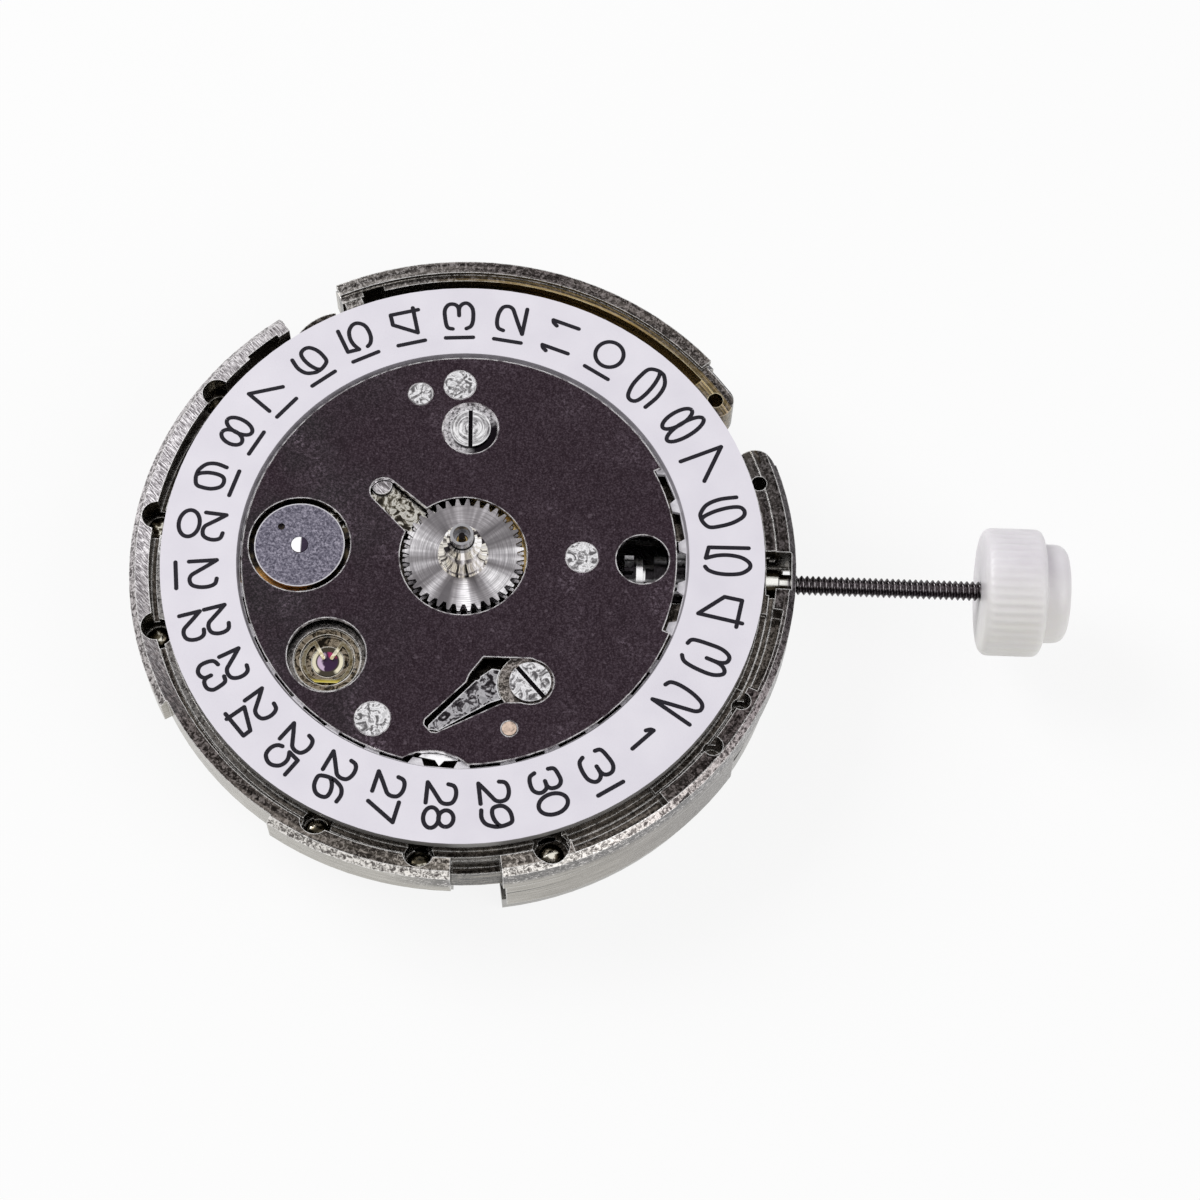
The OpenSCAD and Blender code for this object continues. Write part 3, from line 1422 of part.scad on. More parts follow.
// The fork in its own frame, with +X towards the balance
pallet_stone_reach = escape_r * tan(30);
stone_len = 0.34;
stone_w = 0.13;
module fork_frame() {
  at(pallet_at, 0) rotate([0, 0, pallet_line]) children();
}
module fork_2d() {
  tail = pallet_reach - impulse_r;
  path_2d([[0, 0], [tail - 0.35, 0]], 0.1);
  bar_2d([tail - 0.35, 0], [tail - 0.1, 0.17], 0.08);
  bar_2d([tail - 0.35, 0], [tail - 0.1, -0.17], 0.08);
  circle(r = 0.3);
  for (s = [-1, 1]) {
    bar_2d([0, 0], [-0.25, s * (pallet_stone_reach - 0.1)], 0.1);
    bar_2d([-0.25, s * (pallet_stone_reach - 0.1)], [-0.28, s * (pallet_stone_reach + 0.05)], 0.12);
  }
}
module pallet_fork() {
  color(steel)
    fork_frame()
      difference() {
        union() {
          slab(escape_top, escape_under) fork_2d();
          disc(0.13, web_back - 0.03, pallet_bridge_top + 0.03);
          disc(pivot_r, web_back + jewel_thick - 0.02, web_back - 0.04);
          disc(pivot_r, pallet_bridge_top + 0.04, pallet_bridge_top - jewel_thick + 0.02);
        }
        for (s = [-1, 1])
          translate([-0.3, s * pallet_stone_reach, escape_under - 1])
            rotate([0, 0, 180 + s * 14])
              translate([-0.1, -stone_w / 2, 0]) cube([1, stone_w, 3]);
      }
}
module pallet_stones() {
  color(ruby)
    fork_frame()
      for (s = [-1, 1])
        translate([-0.3, s * pallet_stone_reach, escape_under])
          rotate([0, 0, 180 + s * 14])
            translate([-0.1, -stone_w / 2, 0]) cube([stone_len, stone_w, wheel_thick]);
}
roller_top = pallet_bridge_top + 0.02;
module balance_wheel() {
  color(gilt)
    at(balance_at, 0)
      difference() {
        union() {
          tube(balance_r, balance_r - balance_rim_w, rim_top, rim_top - balance_rim_h);
          difference() {
            disc(balance_r - balance_rim_w + eps, rim_top - 0.08, rim_top - 0.22);
            windows(balance_r - balance_rim_w + 0.02, 0.75, 3, 0.4, rim_top, rim_top - 0.4);
          }
        }
        disc(staff_r, 0, -9);
      }
}
staff_r = 0.2;
module balance_staff() {
  dial_pivot_top = shock_mouth_dial - 0.46;
  back_pivot_under = shock_mouth_back + 0.46;
  color(steel)
    at(balance_at, 0) {
      disc(staff_pivot_r, dial_pivot_top, dial_pivot_top - 0.4);
      disc(0.14, dial_pivot_top - 0.35, roller_top);
      disc(staff_r, roller_top + eps, hairspring_z - 0.06);
      disc(0.14, hairspring_z - 0.05, back_pivot_under + 0.35);
      disc(staff_pivot_r, back_pivot_under + 0.36, back_pivot_under);
      // Roller table with its impulse pin
      disc(0.78, roller_top - 0.1, roller_top - 0.22);
      rotate([0, 0, pallet_line + 180])
        translate([impulse_r, 0, 0]) disc(0.06, escape_top, roller_top - 0.12);
      // Collet that holds the hairspring
      disc(hairspring_in_r - 0.02, hairspring_z + 0.08, hairspring_z - 0.08);
    }
}
module hairspring() {
  color([0.3, 0.35, 0.55])
    at(balance_at, 0)
      spiral_ribbon(hairspring_turns, hairspring_in_r, hairspring_pitch, hairspring_w,
        hairspring_h, hairspring_z, stud_angle);
}

// Motion works and date works
module cannon_pinion() {
  color(steel)
    difference() {
      union() {
        disc(minute_seat_r, minute_seat_top, cannon_leaf_top - eps);
        gear(cannon_module, cannon_teeth, 0, cannon_leaf_top, cannon_leaf_under);
      }
      disc(sleeve_r + 0.015, 5, -9);
      disc(centre_tube_r + pivot_gap, centre_tube_top + 0.05, -9);
      disc(mouth_r, 5, sleeve_top + 0.05);
    }
}
minute_phase = mesh_phase(heading(centre, minute_at), cannon_teeth, 0, minute_teeth);
module minute_wheel() {
  color(brass_tone)
    at(minute_at, 0)
      difference() {
        union() {
          gear(cannon_module, minute_teeth, minute_phase, minute_top, minute_under);
          gear(hour_module, minute_pinion_teeth, minute_pinion_phase,
            hour_lower_top, minute_top - eps);
        }
        disc(0.22 + pivot_gap, 1, -3);
      }
}
minute_pinion_phase = 0;
hour_lower_top = hour_gear_under + 0.14;
hour_phase = mesh_phase(heading(minute_at, centre), minute_pinion_teeth, minute_pinion_phase, hour_teeth);
module hour_wheel() {
  color(nickel)
    difference() {
      union() {
        gear(hour_module, hour_teeth, hour_phase, hour_disc_top, hour_disc_top - hour_disc_thick);
        disc(pitch_r(hour_module, hour_teeth) - 0.4, hour_disc_top - hour_disc_thick + eps, hour_lower_top - eps);
        gear(hour_module, hour_teeth, hour_phase, hour_lower_top, hour_gear_under);
        disc(hour_seat_r + 0.19, hour_disc_top + 0.3, hour_disc_top - eps);
        disc(hour_seat_r, hour_seat_top - 0.35, hour_disc_top);
        disc(hour_seat_r - 0.155, hour_seat_top, hour_disc_top);
      }
      disc(minute_seat_r + turn_gap, 5, -9);
    }
}
idler_phase = mesh_phase(heading(centre, date_idler_at), hour_teeth, hour_phase, date_idler_teeth);
idler_pinion_phase = 0;
module intermediate_date_wheel() {
  color(brass_tone)
    at(date_idler_at, 0)
      difference() {
        union() {
          gear(hour_module, date_idler_teeth, idler_phase, idler_top, idler_top - idler_thick);
          gear(date_module, date_pinion_teeth, idler_pinion_phase,
            idler_top - idler_thick + eps, date_gear_top - date_gear_thick);
        }
        disc(0.4 + pivot_gap, 1, -3);
      }
}
date_finger_angle = 20;
date_wheel_phase = mesh_phase(heading(date_idler_at, date_wheel_at), date_pinion_teeth,
  idler_pinion_phase, date_wheel_teeth);
module date_driving_wheel() {
  hub_top = plate_top - 0.04;
  color(satin_blue)
    at(date_wheel_at, 0)
      difference() {
        union() {
          disc(date_window_r - 0.22, hub_top, finger_top + 0.02);
          disc(1.15, finger_top + 0.03, date_gear_top);
          slab(finger_top, finger_top - finger_thick)
            rotate(date_finger_angle)
              polygon([[0.9, -0.5], [2.3, -0.12], [2.34, 0.12], [0.9, 0.5]]);
          gear(date_module, date_wheel_teeth, date_wheel_phase,
            date_gear_top + eps, date_gear_top - date_gear_thick);
        }
        disc(date_pin_r + pivot_gap, 1, -3);
        // Small blind hole in the hub disc
        translate([-0.755, 0.75, 0]) disc(0.14, 1, hub_top - 0.1);
      }
}
setting_phase = mesh_phase(heading(minute_at, setting_at), minute_teeth, minute_phase, setting_teeth);
module setting_wheel() {
  color(steel)
    at(setting_at, 0)
      difference() {
        gear(cannon_module, setting_teeth, setting_phase, minute_top, minute_under);
        disc(0.3 + pivot_gap, 1, -3);
      }
}
ring_tooth_phase = 5.3;
ring_root_r = ring_face_r - 0.1;
module date_ring() {
  pitch = 360 / ring_teeth;
  color(face_white)
    union() {
      rotate_extrude($fn = 160)
        polygon([[ring_root_r, -ring_thick], [ring_r, -ring_thick], [ring_r, 0], [ring_face_r, 0],
          [ring_root_r, tooth_top]]);
      slab(tooth_top, -ring_thick)
        difference() {
          circle(r = ring_face_r + 0.05, $fn = 160);
          polygon([for (i = [0 : ring_teeth - 1])
            let (a = ring_tooth_phase + i * pitch)
            each [polar(ring_root_r - 0.01, a - 0.18 * pitch), polar(ring_tip_r, a - 0.1 * pitch),
               polar(ring_tip_r, a + 0.1 * pitch), polar(ring_root_r - 0.01, a + 0.18 * pitch)]]);
        }
    }
}

mainplate();
centre_tube();
train_jewels();
calendar_plate();
calendar_plate_screws();
calendar_plate_posts();
locating_pin();
date_jumper();
date_jumper_spring();
setting_lever_spring();
yoke_spring();
barrel_bridge();
train_bridge();
bridge_screws();
pallet_bridge();
balance_cock();
shock_settings();
shock_springs();
cap_jewels();
regulator();
stud_holder();
click();
click_spring();
automatic_bridge();
rotor_bearing_post();
rotor_screw();
stem();
crown();
sliding_pinion();
winding_pinion();
setting_lever();
yoke();
crown_wheel();
ratchet_wheel();
barrel_arbor();
setting_wheel();
barrel_drum();
barrel_cover();
mainspring();
centre_wheel();
third_wheel();
seconds_wheel();
escape_wheel();
pallet_fork();
pallet_stones();
balance_wheel();
balance_staff();
hairspring();
cannon_pinion();
minute_wheel();
hour_wheel();
intermediate_date_wheel();
date_driving_wheel();
date_ring();
rotor_weight();
rotor_carrier();
bearing_balls();
reversing_wheel_a();
reversing_wheel_b();
reduction_wheel();
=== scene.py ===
import math

import bmesh
import bpy
from mathutils import Matrix, Vector


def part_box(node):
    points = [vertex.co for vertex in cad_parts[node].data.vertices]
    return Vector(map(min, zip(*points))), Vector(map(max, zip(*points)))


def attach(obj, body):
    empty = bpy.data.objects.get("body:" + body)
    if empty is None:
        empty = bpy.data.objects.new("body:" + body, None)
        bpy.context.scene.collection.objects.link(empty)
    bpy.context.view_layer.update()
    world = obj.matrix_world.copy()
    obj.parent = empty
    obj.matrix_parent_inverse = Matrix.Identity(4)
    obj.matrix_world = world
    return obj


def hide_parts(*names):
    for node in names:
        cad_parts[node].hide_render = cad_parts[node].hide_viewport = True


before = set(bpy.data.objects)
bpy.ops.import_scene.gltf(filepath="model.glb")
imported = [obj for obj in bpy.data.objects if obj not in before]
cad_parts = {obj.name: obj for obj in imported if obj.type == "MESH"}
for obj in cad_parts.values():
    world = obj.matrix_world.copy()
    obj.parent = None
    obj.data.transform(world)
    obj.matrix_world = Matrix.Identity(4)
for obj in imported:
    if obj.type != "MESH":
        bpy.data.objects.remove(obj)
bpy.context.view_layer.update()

# Sizes of the part in millimetres, as its source has them
MM = 0.001
STEM_Z = -1.86
RING_FACE_R = 8.8
RING_R = 11.75
RIM_R = 13.0
RIM_LEDGE_R = 12.01
RIM_LEDGE_Z = -0.955
RING_BEVEL_Z = -0.25
SCREW_A = (0.03, 5.5)
SCREW_A_SINK_R = 1.12
BALANCE = (-5.04, -4.32)
DATE_WHEEL = (-6.385, 0.24)
DATE_PIN_R = 0.32
CROWN_X = 20.35
CROWN_R = 2.52
CROWN_LEN = 2.37
CROWN_CAP_R = 1.95
CROWN_CAP_LEN = 1.02
CROWN_RIBS = 44
CROWN_RIB_DEPTH = 0.055
CROWN_BACK_ROUND = 0.42
CROWN_FRONT_ROUND = 0.36
CAP_FOOT_ROUND = 0.12
CAP_ROUND = 0.6
THREAD_R = 0.405
THREAD_DEPTH = 0.125
THREAD_START = 12.95
THREAD_END = CROWN_X + 1.15
THREAD_PITCH = 0.225
THREAD_STEPS = 8
THREAD_CREST_SHARE = 0.86
STEM_GLINT_DEG = 100
STEM_SQUARE_HALF = 0.31
STEM_SQUARE_ENDS = (6.29, 8.0)
STEM_PILOT = ((5.35, 0.2), (5.41, 0.26), (6.3, 0.26))
STEM_BODY = ((7.99, 0.46), (9.26, 0.46), (9.26, 0.58), (9.75, 0.58), (9.75, 0.34), (10.45, 0.34),
             (10.45, 0.58), (12.35, 0.58), (12.4, 0.54), (12.4, 0.40), (THREAD_START + 0.02, 0.40))
REST_Z = -5.65

# Zones that only the materials draw: radii, depths and heights in millimetres, directions in degrees
RIM_WALL_R = RIM_R - 0.35
RIM_GILT_R = RIM_R - 0.55
RIM_LAND_FROM_Z = -0.6
RIM_LAND_FULL_Z = -0.4
SLIT_FROM_DEG = -54.0
SLIT_TO_DEG = -46.0
SLIT_DEPTH = 0.7
SLIT_HALF_HIGH = 0.33
SCORE_DEPTH = 2.75
SCORE_HALF_HIGH = 0.05
SINK_Z = -0.1
SLOT_Z = -0.05
TIPS_FROM_X = 6.76
TIPS_TO_X = 7.12
SECONDS_ARBOR_Z = -2.4

# Cosines that tell cut edges and flat faces from the rest
EDGE_NONE = 0.985
EDGE_FULL = 0.93
FLAT_FROM = 0.8
FLAT_FULL = 0.95

# Depth in millimetres of the marks that turning and brushing leave
GRAIN_DEPTH = 0.004

# Base colours of the metals
NICKEL = (0.42, 0.41, 0.39)
STEEL = (0.36, 0.355, 0.37)
BRASS = (0.50, 0.36, 0.16)
GILT = (0.56, 0.40, 0.13)

# Camera found from the photograph
PHOTO_SIDE = 1200
FOCAL_PIXELS = 2953.4
SENSOR_MM = 36
AZIMUTH = math.radians(-0.536)
ELEVATION = math.radians(67.372)
ROLL = math.radians(2.452)
DISTANCE = 114.15 * MM
CLIP_NEAR = 0.005
CLIP_FAR = 10
TARGET = Vector((5.373, -1.692, 0)) * MM


def show(thing):
    bpy.context.scene.collection.objects.link(thing)


def make_camera():
    back = Vector((math.sin(AZIMUTH) * math.cos(ELEVATION),
                   -math.cos(AZIMUTH) * math.cos(ELEVATION), math.sin(ELEVATION)))
    right = (-back).cross(Vector((0, 0, 1))).normalized()
    up = right.cross(-back)
    right_rolled = right * math.cos(ROLL) + up * math.sin(ROLL)
    up_rolled = up * math.cos(ROLL) - right * math.sin(ROLL)
    data = bpy.data.cameras.new("camera")
    data.sensor_width = SENSOR_MM
    data.lens = FOCAL_PIXELS / PHOTO_SIDE * SENSOR_MM
    data.clip_start = CLIP_NEAR
    data.clip_end = CLIP_FAR
    camera = bpy.data.objects.new("camera", data)
    turn = Matrix((right_rolled, up_rolled, back)).transposed().to_4x4()
    camera.matrix_world = Matrix.Translation(TARGET + back * DISTANCE) @ turn
    show(camera)
    bpy.context.scene.camera = camera


class Tree:
    """A node tree, with short calls that add nodes to it."""

    def __init__(self, tree):
        self.tree = tree

    def node(self, kind, **settings):
        made = self.tree.nodes.new(kind)
        for key, value in settings.items():
            setattr(made, key, value)
        return made

    def join(self, source, target):
        if isinstance(source, (int, float, tuple)):
            target.default_value = source
        else:
            self.tree.links.new(source, target)

    def math(self, operation, a, b=0.0):
        made = self.node("ShaderNodeMath", operation=operation)
        self.join(a, made.inputs[0])
        self.join(b, made.inputs[1])
        return made.outputs[0]

    def plus(self, a, b):
        return self.math("ADD", a, b)

    def minus(self, a, b):
        return self.math("SUBTRACT", a, b)

    def times(self, a, b):
        return self.math("MULTIPLY", a, b)

    def below(self, value, limit):
        """1 where a value is under its limit, 0 elsewhere."""
        return self.math("LESS_THAN", value, limit)

    def above(self, value, limit):
        """1 where a value is over its limit, 0 elsewhere."""
        return self.math("GREATER_THAN", value, limit)

    def seen(self):
        """1 for rays from the camera, a mirror or glass, 0 for light on the object."""
        path = self.node("ShaderNodeLightPath")
        most = path.outputs["Is Camera Ray"]
        for key in ("Is Glossy Ray", "Is Transmission Ray"):
            most = self.math("MAXIMUM", most, path.outputs[key])
        return most

    def end(self, kind, share, usual, other):
        """Two shaders into the output, the other as far as the share goes."""
        both = self.node("ShaderNodeMixShader")
        for source, socket in zip((share, usual.outputs[0], other.outputs[0]), both.inputs):
            self.join(source, socket)
        self.join(both.outputs[0], self.node(kind).inputs["Surface"])


class Look(Tree):
    """One material, with short calls for the patterns that it is made of."""

    def __init__(self, name, color, metallic, roughness):
        self.material = bpy.data.materials.new(name)
        self.material.use_nodes = True
        super().__init__(self.material.node_tree)
        self.shader = self.tree.nodes["Principled BSDF"]
        self.set("Base Color", (*color, 1))
        self.set("Metallic", metallic)
        self.set("Roughness", roughness)
        self.coordinates = self.node("ShaderNodeTexCoord")
        scaled = self.node("ShaderNodeVectorMath", operation="SCALE")
        scaled.inputs["Scale"].default_value = 1 / MM
        self.join(self.coordinates.outputs["Object"], scaled.inputs[0])
        self.place = scaled.outputs[0]

    def set(self, socket, value):
        self.shader.inputs[socket].default_value = value

    def feed(self, socket, source):
        self.tree.links.new(source, self.shader.inputs[socket])

    def paint(self, color):
        self.feed("Base Color", color)

    def polish(self, marks, at_low, at_high):
        """Roughness that follows marks between two values."""
        self.feed("Roughness", self.level(marks, 0.3, 0.7, at_low, at_high))

    def noise(self, per_mm, detail=3.0, roughness=0.5, distortion=0.0, vector=None):
        made = self.node("ShaderNodeTexNoise")
        self.join(vector or self.place, made.inputs["Vector"])
        for key, value in (("Scale", per_mm), ("Detail", detail), ("Roughness", roughness),
                           ("Distortion", distortion)):
            made.inputs[key].default_value = value
        return made.outputs["Fac"]

    def cut_edge(self, width_mm):
        """1 along the sharp edges of the solid, 0 elsewhere."""
        rounded = self.node("ShaderNodeBevel", samples=4)
        rounded.inputs["Radius"].default_value = width_mm * MM
        flat = self.node("ShaderNodeNewGeometry")
        same = self.node("ShaderNodeVectorMath", operation="DOT_PRODUCT")
        self.join(rounded.outputs["Normal"], same.inputs[0])
        self.join(flat.outputs["Normal"], same.inputs[1])
        return self.level(same.outputs["Value"], EDGE_NONE, EDGE_FULL)

    def ramp(self, fac, stops):
        """Colours along a value; a stop holds its place, then its colour or one number for a grey."""
        made = self.node("ShaderNodeValToRGB")
        points = made.color_ramp.elements
        while len(points) < len(stops):
            points.new(0.5)
        for point, (where, *color) in zip(points, stops):
            point.position = where
            point.color = (*(color if len(color) == 3 else color * 3), 1)
        self.join(fac, made.inputs["Fac"])
        return made.outputs["Color"]

    def level(self, fac, low, high, to_low=0.0, to_high=1.0):
        made = self.node("ShaderNodeMapRange", clamp=True)
        self.join(fac, made.inputs["Value"])
        for key, value in (("From Min", low), ("From Max", high), ("To Min", to_low), ("To Max", to_high)):
            made.inputs[key].default_value = value
        return made.outputs["Result"]

    def mix(self, fac, a, b, blend="MIX"):
        made = self.node("ShaderNodeMix", data_type="RGBA", blend_type=blend)
        self.join(fac, made.inputs["Factor"])
        for key, value in (("A", a), ("B", b)):
            socket = [s for s in made.inputs if s.name == key and s.type == "RGBA"][0]
            self.join((*value, 1) if isinstance(value, tuple) else value, socket)
        return [s for s in made.outputs if s.type == "RGBA"][0]

    def tinted(self, color, tint):
        return self.mix(1.0, color, tint, "MULTIPLY")

    def stretched(self, x, y, z):
        made = self.node("ShaderNodeVectorMath", operation="MULTIPLY")
        self.join(self.place, made.inputs[0])
        made.inputs[1].default_value = (x, y, z)
        return made.outputs[0]

    def parts(self, vector=None):
        made = self.node("ShaderNodeSeparateXYZ")
        self.join(vector or self.place, made.inputs[0])
        return made.outputs

    def vector(self, x, y, z):
        made = self.node("ShaderNodeCombineXYZ")
        for value, socket in zip((x, y, z), made.inputs):
            self.join(value, socket)
        return made.outputs[0]

    def around(self, centre):
        """Distance from an upright axis, and direction round it."""
        x, y, _ = self.parts()
        dx = self.minus(x, centre[0])
        dy = self.minus(y, centre[1])
        squares = self.plus(self.times(dx, dx), self.times(dy, dy))
        return self.math("SQRT", squares), self.math("ARCTAN2", dy, dx)

    def facing(self, direction, degrees, low, high):
        """0 to 1 as the cosine of the angle to a direction in degrees goes from low to high."""
        return self.level(self.math("COSINE", self.plus(direction, math.radians(-degrees))), low, high)

    def spread(self, direction, k, along):
        """A place that turns with the direction, for patterns of rays."""
        return self.vector(self.times(self.math("COSINE", direction), k),
                           self.times(self.math("SINE", direction), k), along)

    def turned(self, centre, per_mm=14.0, round_turn=1.2):
        """Noise drawn out round an axis, as turning leaves it."""
        distance, direction = self.around(centre)
        z = self.parts()[2]
        outward = self.times(distance, per_mm)
        sideways = self.times(self.math("COSINE", direction), round_turn)
        height = self.plus(self.times(z, per_mm), self.times(self.math("SINE", direction), round_turn))
        return self.noise(1.0, 4.0, 0.6, vector=self.vector(outward, sideways, height))

    def facing_up(self):
        """Share of the normal that points up; below 0 it points down."""
        return self.parts(self.coordinates.outputs["Normal"])[2]

    def upward(self):
        """1 on faces that look up or down, 0 on upright walls."""
        return self.level(self.math("ABSOLUTE", self.facing_up()), FLAT_FROM, FLAT_FULL)

    def sloping(self, low, high):
        """1 on slanted faces, 0 on flat ones and on upright walls."""
        slanted = self.level(self.math("ABSOLUTE", self.facing_up()), low, high)
        return self.times(slanted, self.minus(1.0, self.upward()))

    def bump(self, height, depth_mm):
        made = self.node("ShaderNodeBump")
        made.inputs["Distance"].default_value = depth_mm * MM
        self.join(height, made.inputs["Height"])
        self.feed("Normal", made.outputs["Normal"])


def scaled(color, k):
    return tuple(min(1.0, c * k) for c in color)


def speckled(name, color, roughness, dark, grain, depth=0.006, bright=1.35):
    """Worn bright metal with fine dark and light specks, and a painted highlight on its slanted faces."""
    look = Look(name, color, 1.0, roughness)
    fine = look.noise(grain, 4.0, 0.6, 0.9)
    broad = look.noise(grain * 0.3, 2.0, 0.5)
    both = look.plus(look.times(fine, 0.65), look.times(broad, 0.35))
    shade = look.ramp(both, [(0.38, *scaled(color, dark)), (0.49, *color), (0.58, *scaled(color, bright))])
    # Painted highlight: slanted faces laid bright
    look.paint(look.mix(look.times(look.sloping(0.35, 0.6), 0.8), shade, (0.86, 0.85, 0.87)))
    look.polish(fine, roughness * 1.5, roughness * 0.7)
    look.bump(fine, depth)
    return look


def turned_metal(name, color, centre, roughness=0.28):
    """Turned metal with marks round its own axis."""
    look = Look(name, color, 1.0, roughness)
    marks = look.turned(centre)
    specks = look.noise(7.0, 3.0, 0.6)
    shade = look.ramp(marks, [(0.3, *scaled(color, 0.6)), (0.55, *color), (0.75, *scaled(color, 1.2))])
    look.paint(look.mix(look.level(specks, 0.3, 0.75, 0.0, 0.35), shade, scaled(color, 0.8)))
    look.polish(marks, roughness * 1.3, roughness * 0.8)
    look.bump(marks, GRAIN_DEPTH)
    return look


def brushed_metal(name, color, angle, roughness=0.3):
    """Metal with straight fine grain."""
    look = Look(name, color, 1.0, roughness)
    c = math.cos(math.radians(angle))
    s = math.sin(math.radians(angle))
    x, y, z = look.parts()
    along = look.plus(look.times(x, c), look.times(y, s))
    across = look.minus(look.times(y, c), look.times(x, s))
    where = look.vector(look.times(along, 0.7), look.times(across, 22.0), look.times(z, 22.0))
    grain = look.noise(1.0, 4.0, 0.6, vector=where)
    specks = look.noise(2.2, 4.0, 0.65)
    shade = look.ramp(grain, [(0.3, *scaled(color, 0.62)), (0.55, *color), (0.75, *scaled(color, 1.18))])
    look.paint(look.mix(look.level(specks, 0.35, 0.7, 0.0, 0.4), shade, scaled(color, 0.72)))
    look.polish(grain, roughness * 1.25, roughness * 0.8)
    look.bump(grain, GRAIN_DEPTH)
    return look


def dark_mirror(name):
    """Calendar plate: dark mirror with clouded fine specks, painted highlights at its cut edges and a
    painted shadow in the sink of a screw.
    """
    look = Look(name, (0.024, 0.016, 0.021), 1.0, 0.2)
    cloud = look.noise(0.34, 3.0, 0.6, 0.5)
    speck = look.noise(8.0, 4.0, 0.75)
    grit = look.noise(15.0, 3.0, 0.7)
    patch = look.times(look.level(cloud, 0.5, 0.68), look.level(speck, 0.5, 0.68))
    grain = look.noise(1.0, 3.0, 0.6, vector=look.stretched(9, 2.6, 4))
    tint = look.ramp(grain, [(0.3, 0.02, 0.0125, 0.017), (0.7, 0.034, 0.0225, 0.0295)])
    left = look.level(look.parts()[0], -1.0, -6.0, 0.0, 0.75)
    green = look.mix(look.times(left, look.level(look.noise(0.3, 2.0), 0.4, 0.6)), tint,
                     (0.0215, 0.0205, 0.0215))
    gritty = look.mix(look.level(grit, 0.46, 0.7, 0.0, 0.6), green, (0.12, 0.092, 0.112))
    clouded = look.mix(look.times(patch, 0.8), gritty, (0.15, 0.118, 0.145))
    dust = look.level(look.noise(3.4, 2.0, 0.5), 0.68, 0.72)
    clouded = look.mix(look.times(dust, 0.25), clouded, (0.2, 0.16, 0.19))
    scratch = look.noise(1.0, 2.0, 0.5, 1.5, vector=look.stretched(1.1, 3.5, 1))
    lines = look.times(look.level(scratch, 0.68, 0.69), look.level(cloud, 0.5, 0.6))
    scratched = look.mix(look.times(lines, 0.3), clouded, (0.12, 0.095, 0.115))
    distance, direction = look.around(SCREW_A)
    sunk = look.times(look.below(distance, SCREW_A_SINK_R), look.below(look.parts()[2], SINK_Z))
    # Painted shadow: the floor of the screw's sink is dark towards the lower right, bright with specks
    # elsewhere
    lit = look.facing(direction, -35, 0.75, 0.35)
    floor = look.mix(lit, (0.008, 0.006, 0.008),
                     look.ramp(speck, [(0.4, 0.06, 0.055, 0.06), (0.55, 0.55, 0.53, 0.55)]))
    scratched = look.mix(sunk, scratched, floor)
    wall = look.ramp(look.noise(5.0, 3.0, 0.7), [(0.4, 0.05, 0.045, 0.05), (0.58, 0.85, 0.83, 0.85)])
    shown = look.mix(look.upward(), wall, scratched)
    # Painted highlights along the cut edges
    bright = look.ramp(look.noise(2.5, 3.0, 0.6), [(0.38, 0.22, 0.2, 0.21), (0.52, 0.92, 0.9, 0.91)])
    look.paint(look.mix(look.cut_edge(0.09), shown, bright))
    look.feed("Roughness", look.level(patch, 0.0, 0.6, 0.16, 0.5))
    look.bump(look.plus(grain, look.times(patch, 0.8)), 0.003)
    return look


def rim_top(look, side, strokes, streaked, worn):
    """Brushed land, bright with painted light on the left of the rim, dark grainy land elsewhere, with
    painted light and shade in stretches round the rim.
    """
    land = look.ramp(strokes, [(0.36, 0.09, 0.08, 0.085), (0.47, 0.28, 0.26, 0.275),
                               (0.6, 0.84, 0.81, 0.83)])
    # Painted light: the bright brushed land shows on the left of the rim only
    brushed = look.ramp(side, [(0.0, 0.95), (0.05, 0.4), (0.1, 0.0), (0.83, 0.0), (0.86, 0.8), (0.93, 1.0)])
    # Painted light and shade in stretches round the rim
    light_and_shade_round_rim = look.ramp(side, [
        (0.0, 0.45, 0.42, 0.43), (0.08, 0.27, 0.24, 0.25), (0.17, 0.34, 0.31, 0.3),
        (0.22, 0.44, 0.41, 0.39), (0.26, 0.85, 0.8, 0.76), (0.32, 0.55, 0.51, 0.51),
        (0.37, 0.22, 0.195, 0.2), (0.43, 0.22, 0.19, 0.2), (0.47, 0.28, 0.26, 0.27),
        (0.5, 0.17, 0.15, 0.16), (0.57, 0.19, 0.18, 0.185), (0.62, 0.4, 0.37, 0.37),
        (0.72, 0.3, 0.27, 0.28), (0.79, 0.48, 0.46, 0.47), (0.83, 0.75, 0.73, 0.74)])
    return look.mix(brushed, look.tinted(look.mix(0.35, worn, streaked), light_and_shade_round_rim), land)


def rim_steps(look, side, distance, z, specks, streaked, worn):
    """Low steps of the rim darkened with painted shade, with a painted highlight on a ledge on the left."""
    # Painted shade on the low steps
    low = look.tinted(look.mix(0.5, streaked, worn), (0.26, 0.235, 0.22))
    ledge = look.times(look.below(distance, RIM_LEDGE_R), look.level(z, RIM_LEDGE_Z - 0.015, RIM_LEDGE_Z))
    # Painted highlight on the ledge, on the left of the rim
    lit_on_left = look.ramp(side, [(0.0, 0.35), (0.12, 0.12), (0.2, 0.0), (0.82, 0.0), (0.86, 1.0), (0.96, 1.0)])
    bright = look.ramp(specks, [(0.38, 0.1, 0.09, 0.09), (0.52, 0.7, 0.69, 0.69)])
    return look.mix(look.times(ledge, lit_on_left), low, bright)


